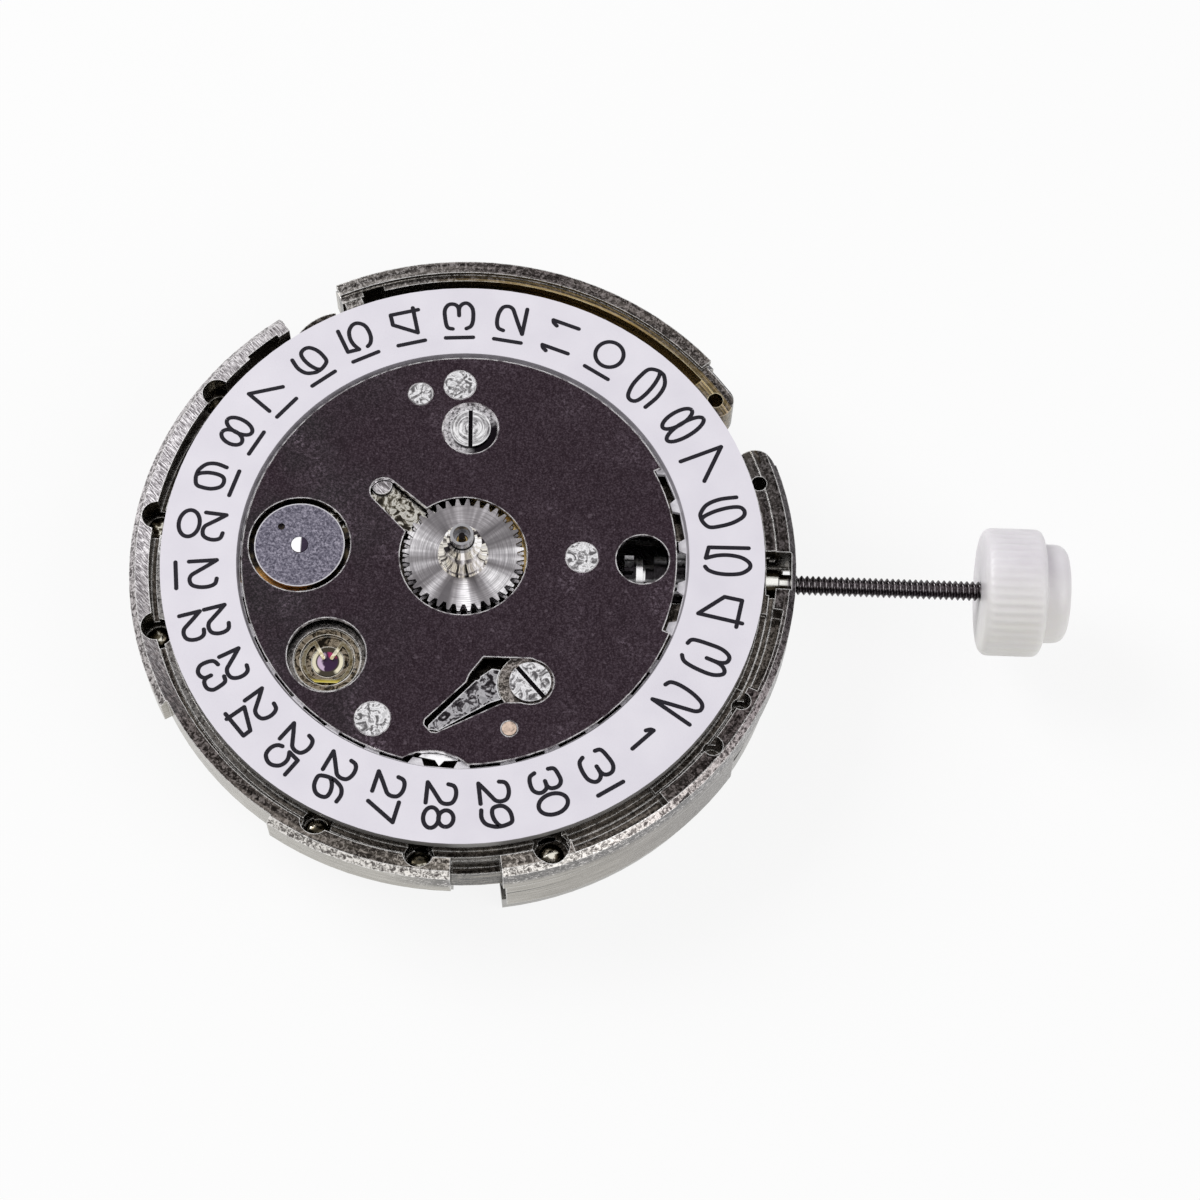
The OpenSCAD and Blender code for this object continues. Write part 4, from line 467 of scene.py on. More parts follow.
def rim_walls(look, side, distance, direction, z, specks, streaked, worn):
    """Satin outer wall with painted shade round it, dark with painted highlights splashed over it at the
    lower right, and inner walls of specks and turning marks darkened with painted shade.
    """
    drawn_out = look.vector(look.times(direction, 6.0), look.times(z, 9.0), 0.0)
    satin = look.ramp(look.noise(1.0, 3.0, 0.6, vector=drawn_out), [
        (0.3, 0.24, 0.225, 0.19), (0.5, 0.37, 0.35, 0.31), (0.7, 0.5, 0.48, 0.43)])
    # Painted shade round the outer wall, darkest at the lower right
    shade_round_wall = look.ramp(side, [(0.27, 1.0), (0.33, 0.72, 0.7, 0.69), (0.38, 0.4, 0.38, 0.38),
                              (0.45, 0.25, 0.23, 0.24), (0.5, 0.5, 0.49, 0.5), (0.8, 1.0)])
    lower_right = look.ramp(side, [(0.22, 0.0), (0.25, 1.0), (0.45, 1.0), (0.5, 0.0)])
    # Painted shade with splashed painted highlights, high on the outer wall at the lower right
    splashed = look.ramp(specks, [(0.46, 0.015, 0.012, 0.013), (0.54, 0.085, 0.075, 0.078),
                                  (0.64, 0.8, 0.77, 0.74)])
    high = look.times(look.level(z, -1.6, -1.2), lower_right)
    outer = look.mix(look.times(high, 0.85), look.tinted(satin, shade_round_wall), splashed)
    inner = look.mix(look.level(look.noise(1.4), 0.4, 0.6, 0.15, 0.6), streaked, worn)
    # Inner walls darkened with painted shade
    return look.mix(look.above(distance, RIM_WALL_R), look.tinted(inner, (0.35, 0.33, 0.3)), outer)


def rim_chamfer(look, side, specks):
    """Sparkling chamfer with painted light, brightest at the bottom, and painted shade on the stem side."""
    sparkling = look.ramp(specks, [(0.4, 0.12, 0.11, 0.11), (0.49, 0.5, 0.49, 0.48),
                                   (0.57, 1.0, 0.99, 0.98)])
    lit = look.ramp(side, [
        (0.0, 0.6, 0.57, 0.59), (0.1, 0.45, 0.43, 0.42), (0.17, 0.75, 0.73, 0.7),
        (0.31, 1.0, 0.97, 0.93), (0.35, 0.75, 0.7, 0.68), (0.42, 0.38, 0.34, 0.35),
        (0.48, 0.1, 0.09, 0.098), (0.8, 0.09, 0.082, 0.088), (0.86, 0.7, 0.67, 0.69)])
    return look.tinted(sparkling, lit)


def rim_slit(look, distance, direction, z):
    """1 in the wedge that stands dark in the outer wall at the lower right, painted shade of a slit."""
    slit_to = math.radians(SLIT_TO_DEG)
    half_high = look.level(direction, math.radians(SLIT_FROM_DEG), slit_to, 0.0, SLIT_HALF_HIGH)
    off_middle = look.math("ABSOLUTE", look.plus(z, SLIT_DEPTH))
    wedge = look.times(look.below(off_middle, half_high), look.below(direction, slit_to))
    return look.times(wedge, look.above(distance, RIM_WALL_R))


def rim_score(look, side, z):
    """1 on the thin line scored round the wall beside the bottom notch."""
    off_middle = look.math("ABSOLUTE", look.plus(z, SCORE_DEPTH))
    line = look.times(look.below(off_middle, SCORE_HALF_HIGH), look.level(side, 0.31, 0.28))
    return look.times(line, look.level(side, 0.25, 0.26))


def rim_metal(name):
    """Main plate: brushed land on one side, dark grainy steps, satin outer wall, turned edges; with painted
    light and shade round the rim, painted shade on its steps, inner walls and slit, and painted highlights
    along its edges and on the pin.
    """
    look = Look(name, (0.4, 0.39, 0.37), 1.0, 0.22)
    distance, direction = look.around((0, 0))
    x, y, z = look.parts()
    slant = look.vector(look.times(look.plus(x, y), 15.0), look.times(look.minus(x, y), 2.0),
                        look.times(z, 8.0))
    strokes = look.noise(1.0, 4.0, 0.65, 0.4, vector=slant)
    marks = look.turned((0, 0), 9.0, 3.0)
    specks = look.noise(6.5, 4.0, 0.65, 1.0)
    side = look.math("DIVIDE", look.plus(direction, math.pi), 2 * math.pi)
    worn = look.ramp(specks, [(0.4, 0.012, 0.01, 0.01), (0.5, 0.14, 0.13, 0.12), (0.6, 0.85, 0.83, 0.8)])
    streaked = look.ramp(marks, [(0.36, 0.02, 0.018, 0.018), (0.5, 0.16, 0.15, 0.135),
                                 (0.66, 0.78, 0.75, 0.68)])
    flat = look.mix(look.level(z, RIM_LAND_FROM_Z, RIM_LAND_FULL_Z),
                    rim_steps(look, side, distance, z, specks, streaked, worn),
                    rim_top(look, side, strokes, streaked, worn))
    wall = rim_walls(look, side, distance, direction, z, specks, streaked, worn)
    shaded = look.mix(look.upward(), wall, flat)
    shaded = look.mix(look.sloping(0.5, 0.6), shaded, rim_chamfer(look, side, specks))
    shaded = look.mix(look.times(rim_slit(look, distance, direction, z), 0.92), shaded, (0.012, 0.01, 0.011))
    shaded = look.mix(rim_score(look, side, z), shaded, (0.03, 0.027, 0.022))
    gold = look.times(look.level(y, 4.5, 8.0), look.level(x, -2.0, 2.0))
    gold = look.times(gold, look.below(distance, RIM_GILT_R))
    gilt_rings = look.level(look.turned((0, 0), 12.0, 1.0), 0.42, 0.6)
    gilt = look.mix(gilt_rings, (0.03, 0.022, 0.012), (0.5, 0.36, 0.15))
    shaded = look.mix(look.times(gold, 0.55), shaded, gilt)
    # Painted highlights along the cut edges, gilt on the gilt part
    edge = look.ramp(specks, [(0.34, 0.3, 0.29, 0.28), (0.48, 0.9, 0.89, 0.88)])
    gilt_edge = look.ramp(look.noise(0.9), [(0.42, 0.8, 0.7, 0.45), (0.56, 0.42, 0.24, 0.05)])
    edge = look.mix(gold, edge, gilt_edge)
    shaded = look.mix(look.times(look.cut_edge(0.06), 0.9), shaded, edge)
    # Date wheel pin: left half painted white as its lit side, right half painted dark as its shaded side
    pin_distance, _ = look.around(DATE_WHEEL)
    pin = look.times(look.below(pin_distance, DATE_PIN_R + 0.02), look.above(z, -0.3))
    half = look.level(x, DATE_WHEEL[0] + 0.02, DATE_WHEEL[0] + 0.08)
    shaded = look.mix(pin, shaded, look.mix(half, (0.97, 0.96, 0.98), (0.04, 0.03, 0.05)))
    look.paint(shaded)
    look.polish(specks, 0.32, 0.16)
    look.bump(look.plus(specks, strokes), 0.008)
    return look


def ring_face(name):
    """Date ring: satin lilac white, with painted shade laying grey the bevel at its inner edge and its outer
    side.
    """
    look = Look(name, (0.765, 0.735, 0.8), 0.0, 0.42)
    distance, _ = look.around((0, 0))
    z = look.parts()[2]
    soft = look.noise(0.5)
    fine = look.noise(16.0, 3.0, 0.6)
    face = look.ramp(soft, [(0.3, 0.735, 0.705, 0.775), (0.7, 0.795, 0.765, 0.83)])
    face = look.mix(look.level(fine, 0.3, 0.8, 0.0, 0.12), face, (0.62, 0.6, 0.66))
    # Painted shade: the bevel at the inner edge laid grey
    lip = look.ramp(look.level(z, RING_BEVEL_Z, 0.0),
                    [(0.0, 0.7, 0.68, 0.72), (0.25, 0.3, 0.285, 0.31), (0.8, 0.24, 0.225, 0.25),
                     (1.0, 0.42, 0.4, 0.44)])
    on_face = look.level(z, -0.2, -0.05)
    on_lip = look.times(look.below(distance, RING_FACE_R + 0.005), look.above(z, RING_BEVEL_Z + 0.005))
    teeth = look.mix(look.level(look.noise(4.0), 0.4, 0.6), (0.66, 0.64, 0.68), (0.8, 0.78, 0.82))
    base = look.mix(on_face, teeth, face)
    # Painted shade: the outer side of the ring laid grey
    side = look.times(look.above(distance, RING_R - 0.02), look.level(z, -0.02, -0.06))
    base = look.mix(side, base, (0.27, 0.26, 0.25))
    look.paint(look.mix(on_lip, base, lip))
    look.polish(fine, 0.46, 0.38)
    look.bump(fine, 0.0015)
    return look


def satin_disc(name, centre):
    """Hub of the date driving wheel: satin blue grey specks, a painted highlight at its edge, walls painted
    orange on the lower side and grey on the upper as reflections, gold underneath darkened with painted
    shade but for a painted highlight at its lower left.
    """
    look = Look(name, (0.24, 0.25, 0.31), 1.0, 0.35)
    distance, direction = look.around(centre)
    z = look.parts()[2]
    cells = look.noise(10.0, 4.0, 0.75, 0.4)
    face = look.ramp(cells, [(0.38, 0.055, 0.052, 0.072), (0.5, 0.135, 0.127, 0.165),
                             (0.64, 0.34, 0.32, 0.385)])
    # Painted highlight round the outer edge of the face
    edge = look.level(distance, 1.7, 1.73)
    rimmed = look.mix(look.times(edge, 0.8), face, (0.62, 0.61, 0.64))
    # Painted reflections: walls orange on the lower side, grey on the upper side
    upper = look.level(look.math("SINE", direction), -0.75, 0.1)
    wall = look.mix(upper, (0.72, 0.44, 0.17), (0.6, 0.58, 0.6))
    # Painted shade underneath, with a painted highlight at its lower left
    low = look.ramp(look.noise(3.0), [(0.45, 0.012, 0.01, 0.012), (0.7, 0.1, 0.08, 0.05)])
    lower_left_highlight = look.facing(direction, -112, 0.72, 0.86)
    low = look.mix(look.times(lower_left_highlight, 0.9), low, (0.66, 0.36, 0.12))
    dressed = look.mix(look.upward(), wall, rimmed)
    look.paint(look.mix(look.level(z, -0.14, -0.1), low, dressed))
    look.feed("Roughness", look.level(cells, 0.35, 0.65, 0.42, 0.26))
    look.bump(cells, 0.004)
    return look


def hour_metal(name):
    """Hour wheel: fine turning, with painted bright and dark cones of light and shade, and painted
    reflections in bands round its pipe.
    """
    look = Look(name, (0.4, 0.38, 0.39), 1.0, 0.3)
    distance, direction = look.around((0, 0))
    marks = look.turned((0, 0), 24.0, 1.4)
    # Painted light and shade in cones round the axis
    fan = look.noise(1.0, 3.0, 0.55, vector=look.spread(direction, 1.9, look.times(distance, 0.12)))
    cones = look.ramp(fan, [(0.36, 0.1, 0.092, 0.098), (0.46, 0.27, 0.255, 0.265),
                            (0.54, 0.5, 0.48, 0.5), (0.63, 0.92, 0.9, 0.92)])
    grooved = look.mix(look.level(marks, 0.4, 0.6, 0.0, 0.55), cones, (0.12, 0.112, 0.118))
    # Painted reflections in bands round the pipe
    up_the_pipe = look.spread(direction, 3.2, look.times(look.parts()[2], 0.35))
    pipe_reflections = look.ramp(look.noise(1.0, 3.0, 0.6, vector=up_the_pipe), [
        (0.38, 0.03, 0.026, 0.028), (0.45, 0.22, 0.2, 0.19), (0.5, 0.88, 0.84, 0.76),
        (0.56, 0.5, 0.47, 0.45), (0.62, 0.95, 0.93, 0.93)])
    look.paint(look.mix(look.level(distance, 0.96, 1.0), pipe_reflections, grooved))
    look.feed("Roughness", look.level(distance, 0.9, 1.0, 0.1, 0.34))
    look.bump(marks, 0.003)
    look.set("Anisotropic", 0.7)
    tangent = look.node("ShaderNodeTangent", direction_type="RADIAL", axis="Z")
    look.feed("Tangent", tangent.outputs[0])
    return look


def milky_plastic(name):
    """Crown: milky plastic, lilac above and faintly yellow below."""
    look = Look(name, (0.72, 0.69, 0.72), 0.0, 0.34)
    y = look.parts()[1]
    soft = look.noise(0.9)
    lilac = look.ramp(soft, [(0.3, 0.73, 0.7, 0.735), (0.7, 0.79, 0.765, 0.795)])
    cloud = look.noise(1.0, 3.0, 0.6, vector=look.stretched(0.8, 3.5, 3.5))
    # Faintly yellower towards the lower side, drawn by place
    yellower_below = look.times(look.level(y, 0.3, -2.2), look.level(cloud, 0.2, 0.7, 0.5, 1.0))
    look.paint(look.mix(yellower_below, lilac, (0.78, 0.765, 0.725)))
    look.set("Subsurface Weight", 0.55)
    look.set("Subsurface Radius", (1.0, 0.95, 1.0))
    look.set("Subsurface Scale", 0.9 * MM)
    look.polish(cloud, 0.3, 0.42)
    look.bump(look.plus(cloud, look.noise(6.0)), 0.01)
    return look


def ink(name):
    """Matt black ink with a faint grain."""
    look = Look(name, (0.008, 0.007, 0.011), 0.0, 0.6)
    look.set("Specular IOR Level", 0.15)
    fine = look.noise(14.0, 3.0, 0.6)
    look.paint(look.ramp(fine, [(0.3, 0.006, 0.005, 0.009), (0.75, 0.017, 0.015, 0.022)]))
    look.bump(fine, 0.001)
    return look


def crinkled(name, dark, middle, light, per_mm):
    """Polished steel with painted reflections: large dark and bright patches with thin bright folds, and a
    painted highlight on its slanted faces.
    """
    look = Look(name, middle, 1.0, 0.16)
    folds = look.noise(per_mm, 3.0, 0.5, 2.2)
    fine = look.noise(per_mm * 4, 3.0, 0.6, 0.6)
    both = look.plus(look.times(folds, 0.7), look.times(fine, 0.3))
    shade = look.ramp(both, [(0.41, *dark), (0.48, *middle), (0.53, *light), (0.6, *scaled(light, 0.62))])
    # Painted highlight: slanted faces laid bright
    look.paint(look.mix(look.times(look.sloping(0.4, 0.6), 0.85), shade, (0.88, 0.87, 0.89)))
    look.polish(fine, 0.24, 0.1)
    look.bump(both, 0.02)
    return look


def over(look, share, color):
    """Another colour laid over a finished look."""
    shaded = look.shader.inputs["Base Color"].links[0].from_socket
    look.paint(look.mix(share, shaded, color))


def edged(look, strength, color=(0.9, 0.89, 0.91), width_mm=0.05):
    """Painted highlights laid along the cut edges over a finished look."""
    over(look, look.times(look.cut_edge(width_mm), strength), color)
    return look


def seconds_metal(name):
    """Brass wheel on a dark steel arbor, painted nearly black as shade where it ends in the open mouth of
    the cannon pinion.
    """
    look = turned_metal(name, scaled(BRASS, 0.8), (0, 0))
    # Painted shade: the arbor laid nearly black above its wheel
    over(look, look.level(look.parts()[2], SECONDS_ARBOR_Z, SECONDS_ARBOR_Z + 0.1), (0.012, 0.01, 0.01))
    return look


def slotted_steel(name):
    """Screw heads bright with painted reflections and painted highlights at their edges, with slots painted
    dark as shade; the upper head keeps its turning marks.
    """
    look = crinkled(name, (0.1, 0.095, 0.1), (0.38, 0.37, 0.38), (0.88, 0.87, 0.89), 2.0)
    rings = look.ramp(look.turned(SCREW_A, 16.0, 0.8), [
        (0.4, 0.1, 0.09, 0.1), (0.5, 0.42, 0.41, 0.42), (0.6, 0.95, 0.94, 0.95)])
    over(look, look.times(look.level(look.parts()[1], -1.0, 1.0), 0.7), rings)
    edged(look, 0.7)
    # Painted shade: the slots laid nearly black
    over(look, look.level(look.parts()[2], SLOT_Z + 0.005, SLOT_Z - 0.005), (0.006, 0.005, 0.006))
    return look


def jumper_steel(name):
    """Jumper with painted reflections and painted edge highlights, whose nose has a painted white highlight
    between two teeth of the date ring.
    """
    look = crinkled(name, (0.02, 0.018, 0.02), (0.1, 0.095, 0.1), (0.75, 0.74, 0.76), 2.2)
    distance, _ = look.around((0, 0))
    # Painted white highlight on the nose
    nose_highlight = look.ramp(look.noise(1.3, 2.0, 0.5), [(0.4, 0.42, 0.41, 0.44), (0.5, 0.97, 0.96, 0.98)])
    over(look, look.level(distance, 8.0, 8.08), nose_highlight)
    return edged(look, 0.6)


def pinion_steel(name):
    """Dark pinion of which only a row of tooth tips catches the light."""
    look = speckled(name, (0.02, 0.018, 0.02), 0.3, 0.5, 6.0, 0.004)
    x = look.parts()[0]
    row = look.times(look.above(x, TIPS_FROM_X), look.below(x, TIPS_TO_X))
    # Painted highlight on the upward faces of the row of tooth tips
    over(look, look.times(row, look.level(look.facing_up(), 0.55, 0.8)), (0.92, 0.91, 0.92))
    return look


def shock_metal(name):
    """Olive brown setting with painted reflections, a thin bright ring of painted edge highlights and
    painted silvery highlight arcs on one side.
    """
    look = crinkled(name, (0.01, 0.008, 0.006), (0.062, 0.048, 0.032), (0.26, 0.215, 0.16), 2.2)
    distance, direction = look.around(BALANCE)
    # Painted highlight: silvery arcs on one side
    arcs = look.level(look.turned(BALANCE, 9.0, 0.6), 0.5, 0.62)
    over(look, look.times(arcs, look.facing(direction, -30, 0.3, 0.8)), (0.8, 0.78, 0.78))
    return edged(look, 0.85, (0.85, 0.82, 0.76), 0.06)


def lyre_gilt(name):
    """Cream and gilt spring, sharp yellow at its foot."""
    look = crinkled(name, (0.1, 0.07, 0.03), (0.55, 0.45, 0.26), (0.95, 0.88, 0.68), 1.6)
    distance, _ = look.around(BALANCE)
    over(look, look.level(distance, 0.56, 0.7, 0.0, 0.85), (0.085, 0.066, 0.036))
    y = look.parts()[1]
    over(look, look.level(y, BALANCE[1] - 0.75, BALANCE[1] - 0.95), (0.8, 0.66, 0.08))
    return edged(look, 0.5, (0.97, 0.93, 0.8), 0.03)


def ruby_stone(name):
    """Ruby: dark in its depth with red and pink lights."""
    look = Look(name, (0.42, 0.03, 0.26), 0.0, 0.06)
    depth = look.noise(1.9, 2.0, 0.5, 0.8)
    look.paint(look.ramp(depth, [(0.4, 0.035, 0.004, 0.045), (0.5, 0.16, 0.02, 0.16),
                                 (0.58, 0.6, 0.1, 0.4), (0.66, 0.8, 0.62, 0.78)]))
    look.set("Transmission Weight", 0.25)
    look.set("IOR", 1.76)
    look.set("Coat Weight", 0.5)
    look.bump(depth, 0.004)
    return look


def cap_stone(name):
    """Cap stone: dark purple, with a painted lilac reflection at its left and a painted pink highlight at
    its upper right; brown near its edge, with painted cream highlights on its sides.
    """
    look = ruby_stone(name)
    distance, direction = look.around(BALANCE)
    x, y, _ = look.parts()
    wavy = look.plus(x, look.times(look.noise(3.0, 2.0), 0.35))
    over(look, 1.0, (0.03, 0.003, 0.04))
    # Painted reflection: lilac at the left
    over(look, look.level(wavy, BALANCE[0] + 0.06, BALANCE[0] + 0.01), (0.66, 0.5, 0.68))
    upper_right_highlight = look.times(look.level(y, BALANCE[1] + 0.12, BALANCE[1] + 0.2),
                             look.level(wavy, BALANCE[0] + 0.1, BALANCE[0] + 0.2))
    over(look, upper_right_highlight, (0.42, 0.03, 0.14))
    over(look, look.level(distance, 0.38, 0.42), (0.045, 0.034, 0.018))
    side_highlights = look.level(look.math("ABSOLUTE", look.math("COSINE", direction)), 0.5, 0.7)
    over(look, look.times(side_highlights, look.level(distance, 0.44, 0.47)), (0.92, 0.85, 0.64))
    look.set("Coat Weight", 0.0)
    look.set("Transmission Weight", 0.0)
    look.set("IOR", 1.35)
    return look


def pocket_metal(name):
    """Olive brown, ball-like bottoms of the bites in the rim."""
    look = Look(name, (0.2, 0.17, 0.1), 1.0, 0.2)
    cloud = look.noise(1.7, 3.0, 0.6, 0.8)
    look.paint(look.ramp(cloud, [(0.36, 0.03, 0.025, 0.017), (0.5, 0.11, 0.095, 0.065),
                                 (0.58, 0.8, 0.77, 0.68)]))
    look.polish(cloud, 0.3, 0.12)
    look.bump(cloud, 0.01)
    return look


def node_centre(name):
    low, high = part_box(name)
    middle = (low + high) / 2 / MM
    return middle.x, middle.y


def dress(name, look):
    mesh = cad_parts[name].data
    mesh.materials.clear()
    mesh.materials.append(look.material)


def dress_nodes():
    dress("mainplate", rim_metal("rim_nickel"))
    dress("calendar_plate", dark_mirror("dark_mirror"))
    dress("date_ring", ring_face("ring_face"))
    dress("date_driving_wheel", satin_disc("satin_disc", node_centre("date_driving_wheel")))
    dress("hour_wheel", hour_metal("hour_metal"))
    dress("seconds_wheel", seconds_metal("seconds_metal"))
    chrome = crinkled("crinkled_chrome", (0.12, 0.115, 0.12), (0.36, 0.35, 0.36), (0.9, 0.89, 0.91), 2.2)
    dress("calendar_plate_posts", edged(chrome, 0.6))
    dress("calendar_plate_screws", slotted_steel("slotted_steel"))
    dress("date_jumper", jumper_steel("jumper_steel"))
    dress("locating_pin", speckled("locating_brass", (0.52, 0.4, 0.33), 0.25, 0.4, 5.0))
    dark_chrome = edged(speckled("dark_chrome", (0.055, 0.048, 0.05), 0.22, 0.25, 4.5, 0.01, 7.0), 0.8)
    for name in ("setting_lever", "setting_lever_spring", "yoke", "yoke_spring", "setting_wheel"):
        dress(name, dark_chrome)
    spring_chrome = crinkled(
        "spring_chrome", (0.014, 0.012, 0.014), (0.075, 0.068, 0.075), (0.46, 0.45, 0.47), 1.8)
    dress("date_jumper_spring", edged(spring_chrome, 0.95, width_mm=0.09))
    dark_pinion = pinion_steel("pinion_steel")
    for name in ("sliding_pinion", "winding_pinion"):
        dress(name, dark_pinion)
    fine_steel = speckled("fine_steel", STEEL, 0.22, 0.6, 8.0, 0.004)
    for name in ("click", "click_spring", "regulator", "stud_holder", "bridge_screws", "bearing_balls",
                 "pallet_fork", "balance_staff", "escape_wheel", "centre_tube"):
        dress(name, fine_steel)
    for name in ("cannon_pinion", "crown_wheel", "ratchet_wheel", "barrel_arbor", "rotor_bearing_post",
                 "rotor_screw", "reversing_wheel_a", "reversing_wheel_b"):
        dress(name, turned_metal("turned_" + name, STEEL, node_centre(name)))
    for name in ("centre_wheel", "third_wheel", "minute_wheel", "barrel_drum",
                 "barrel_cover", "reduction_wheel"):
        dress(name, turned_metal("turned_" + name, BRASS, node_centre(name)))
    olive_chrome = crinkled(
        "olive_chrome", (0.02, 0.017, 0.013), (0.15, 0.135, 0.105), (0.62, 0.6, 0.55), 1.7)
    dress("intermediate_date_wheel", edged(olive_chrome, 0.7))
    dress("balance_wheel", turned_metal("turned_balance", GILT, node_centre("balance_wheel"), 0.2))
    dress("mainspring", brushed_metal("spring_steel", (0.36, 0.37, 0.39), 0, 0.2))
    dress("hairspring", speckled("blued_steel", (0.08, 0.11, 0.27), 0.2, 0.6, 10.0, 0.002))
    for name, angle in (("barrel_bridge", 14), ("train_bridge", 14), ("balance_cock", 52),
                        ("pallet_bridge", 80), ("automatic_bridge", 14)):
        dress(name, brushed_metal("brushed_" + name, NICKEL, angle))
    dress("rotor_carrier", turned_metal("turned_carrier", STEEL, (0, 0), 0.3))
    dress("rotor_weight", turned_metal("turned_weight", NICKEL, (0, 0), 0.32))
    dress("shock_settings", shock_metal("shock_metal"))
    dress("shock_springs", lyre_gilt("lyre_gilt"))
    ruby = ruby_stone("ruby_stone")
    for name in ("train_jewels", "pallet_stones"):
        dress(name, ruby)
    dress("cap_jewels", cap_stone("cap_stone"))


def new_piece(name, mesh_made, look, body, smooth=True):
    """One visible piece of the scene, which rides on a body of the part."""
    mesh = bpy.data.meshes.new(name)
    bmesh.ops.recalc_face_normals(mesh_made, faces=mesh_made.faces)
    mesh_made.to_mesh(mesh)
    mesh_made.free()
    for face in mesh.polygons:
        face.use_smooth = smooth
    mesh.materials.append(look.material)
    piece = bpy.data.objects.new(name, mesh)
    show(piece)
    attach(piece, body)
    return piece


# Strokes of the numerals, in a box from -1 to 1 both ways: "s" is a smooth line, "c" has corners, "o" is
# an oval by its centre and radii; the glyph "f" is a 1 with its flag
GLYPHS = {
    "0": [("o", [(0, 0, 1, 1)])],
    "1": [("c", [(0, 0.97), (0, -0.97)])],
    "f": [("c", [(0, 0.97), (0, -0.97)]), ("s", [(0, 0.97), (-0.14, 0.86), (-0.26, 0.58)])],
    "2": [("s", [(-0.94, 0.45), (-0.8, 0.82), (-0.35, 1), (0.3, 1), (0.84, 0.8), (1, 0.42),
                 (0.86, 0.08), (0.45, -0.16), (-0.25, -0.52), (-1, -0.93)]),
          ("c", [(-1, -0.93), (1, -0.95)])],
    "3": [("s", [(-1, 0.47), (-0.84, 0.85), (-0.1, 1), (0.53, 1), (0.93, 0.72), (0.93, 0.28),
                 (0.62, 0.04), (0.05, 0)]),
          ("s", [(0.05, 0), (0.66, -0.03), (0.98, -0.3), (0.98, -0.66), (0.55, -0.97), (-0.2, -1),
                 (-0.78, -0.85), (-1, -0.5)])],
    "4": [("c", [(0.78, -1), (0.78, 1), (-0.02, 1), (-1, -0.6), (1, -0.66)])],
    "5": [("c", [(0.95, 1), (-0.84, 1), (-0.97, 0.19)]),
          ("s", [(-0.97, 0.19), (-0.46, 0.4), (0.07, 0.44), (0.62, 0.28), (0.98, -0.11), (0.98, -0.52),
                 (0.62, -0.9), (0.07, -1), (-0.46, -0.93), (-0.84, -0.72), (-1, -0.45)])],
    "6": [("s", [(0.78, 0.96), (0.02, 1), (-0.6, 0.76), (-0.94, 0.25), (-1, -0.11), (-0.93, -0.54),
                 (-0.7, -0.94), (-0.24, -1), (0.37, -0.9), (0.88, -0.58), (1, -0.18), (0.83, 0.17),
                 (0.37, 0.27), (-0.24, 0.19), (-0.75, -0.02), (-0.95, -0.2)])],
    "7": [("c", [(-1, 1), (1, 1), (-0.38, -1)])],
    "8": [("o", [(0, 0.49, 0.8, 0.5)]), ("o", [(0, -0.5, 1, 0.52)])],
}
GLYPHS["9"] = [(kind, [(-x, -y) for x, y in points]) for kind, points in GLYPHS["6"]]
STROKE_MM = 0.165
DIGIT_HALF_H = 0.565
NUMERAL_R = 10.28
FIRST_NUMERAL = -57.34
NUMERAL_STEP = 11.613
INK_TOP_MM = 0.006
INK_LAYER_MM = 0.00011
CAP_LIFT_MM = 0.0006
CAP_POINTS = 20
OVAL_STEPS = 48
SMOOTH_STEPS = 8


def smooth_line(points):
    """Points of a smooth line through the given ones."""
    ends = [points[0]] + points + [points[-1]]
    line = []
    for a, b, c, d in zip(ends, ends[1:], ends[2:], ends[3:]):
        for i in range(SMOOTH_STEPS):
            t = i / SMOOTH_STEPS
            line.append(tuple(
                0.5 * (2 * b[k] + (c[k] - a[k]) * t + (2 * a[k] - 5 * b[k] + 4 * c[k] - d[k]) * t * t
                       + (3 * b[k] - a[k] - 3 * c[k] + d[k]) * t * t * t) for k in (0, 1)))
    return line + [points[-1]]


def stroke_lines(kind, points, half_w, half_h):
    """Lines of one stroke, in millimetres round the middle of its digit."""
    if kind == "o":
        x0, y0, rx, ry = points[0]
        turns = [2 * math.pi * i / OVAL_STEPS for i in range(OVAL_STEPS + 1)]
        lines = [[(x0 + rx * math.cos(t), y0 + ry * math.sin(t)) for t in turns]]
    elif kind == "s":
        lines = [smooth_line(points)]
    else:
        lines = [list(pair) for pair in zip(points, points[1:])]
    return [[(x * half_w, y * half_h) for x, y in line] for line in lines]


def add_ribbon(made, line, place, z):
    """Flat ribbon with round ends along a line; place turns local millimetres into the frame."""
    half = STROKE_MM / 2
    left = []
    right = []
    for i, (x, y) in enumerate(line):
        x0, y0 = line[max(i - 1, 0)]
        x1, y1 = line[min(i + 1, len(line) - 1)]
        long = math.hypot(x1 - x0, y1 - y0)
        nx = (y0 - y1) / long * half
        ny = (x1 - x0) / long * half
        left.append(made.verts.new(place(x + nx, y + ny, z)))
        right.append(made.verts.new(place(x - nx, y - ny, z)))
    for i in range(len(line) - 1):
        made.faces.new((left[i], right[i], right[i + 1], left[i + 1]))
    closed = math.dist(line[0], line[-1]) < 0.001
    for x, y in () if closed else (line[0], line[-1]):
        cap = []
        for i in range(CAP_POINTS):
            turn = 2 * math.pi * i / CAP_POINTS
            corner = place(x + half * math.cos(turn), y + half * math.sin(turn), z + CAP_LIFT_MM)
            cap.append(made.verts.new(corner))
        made.faces.new(cap)


def numeral_place(shift, outward):
    """What turns a digit's own millimetres into the frame, shifted along the ring's radius."""
    def place(x, y, z):
        r = NUMERAL_R + shift + x
        return Vector((r * outward[0] - y * outward[1], r * outward[1] + y * outward[0], z)) * MM

    return place


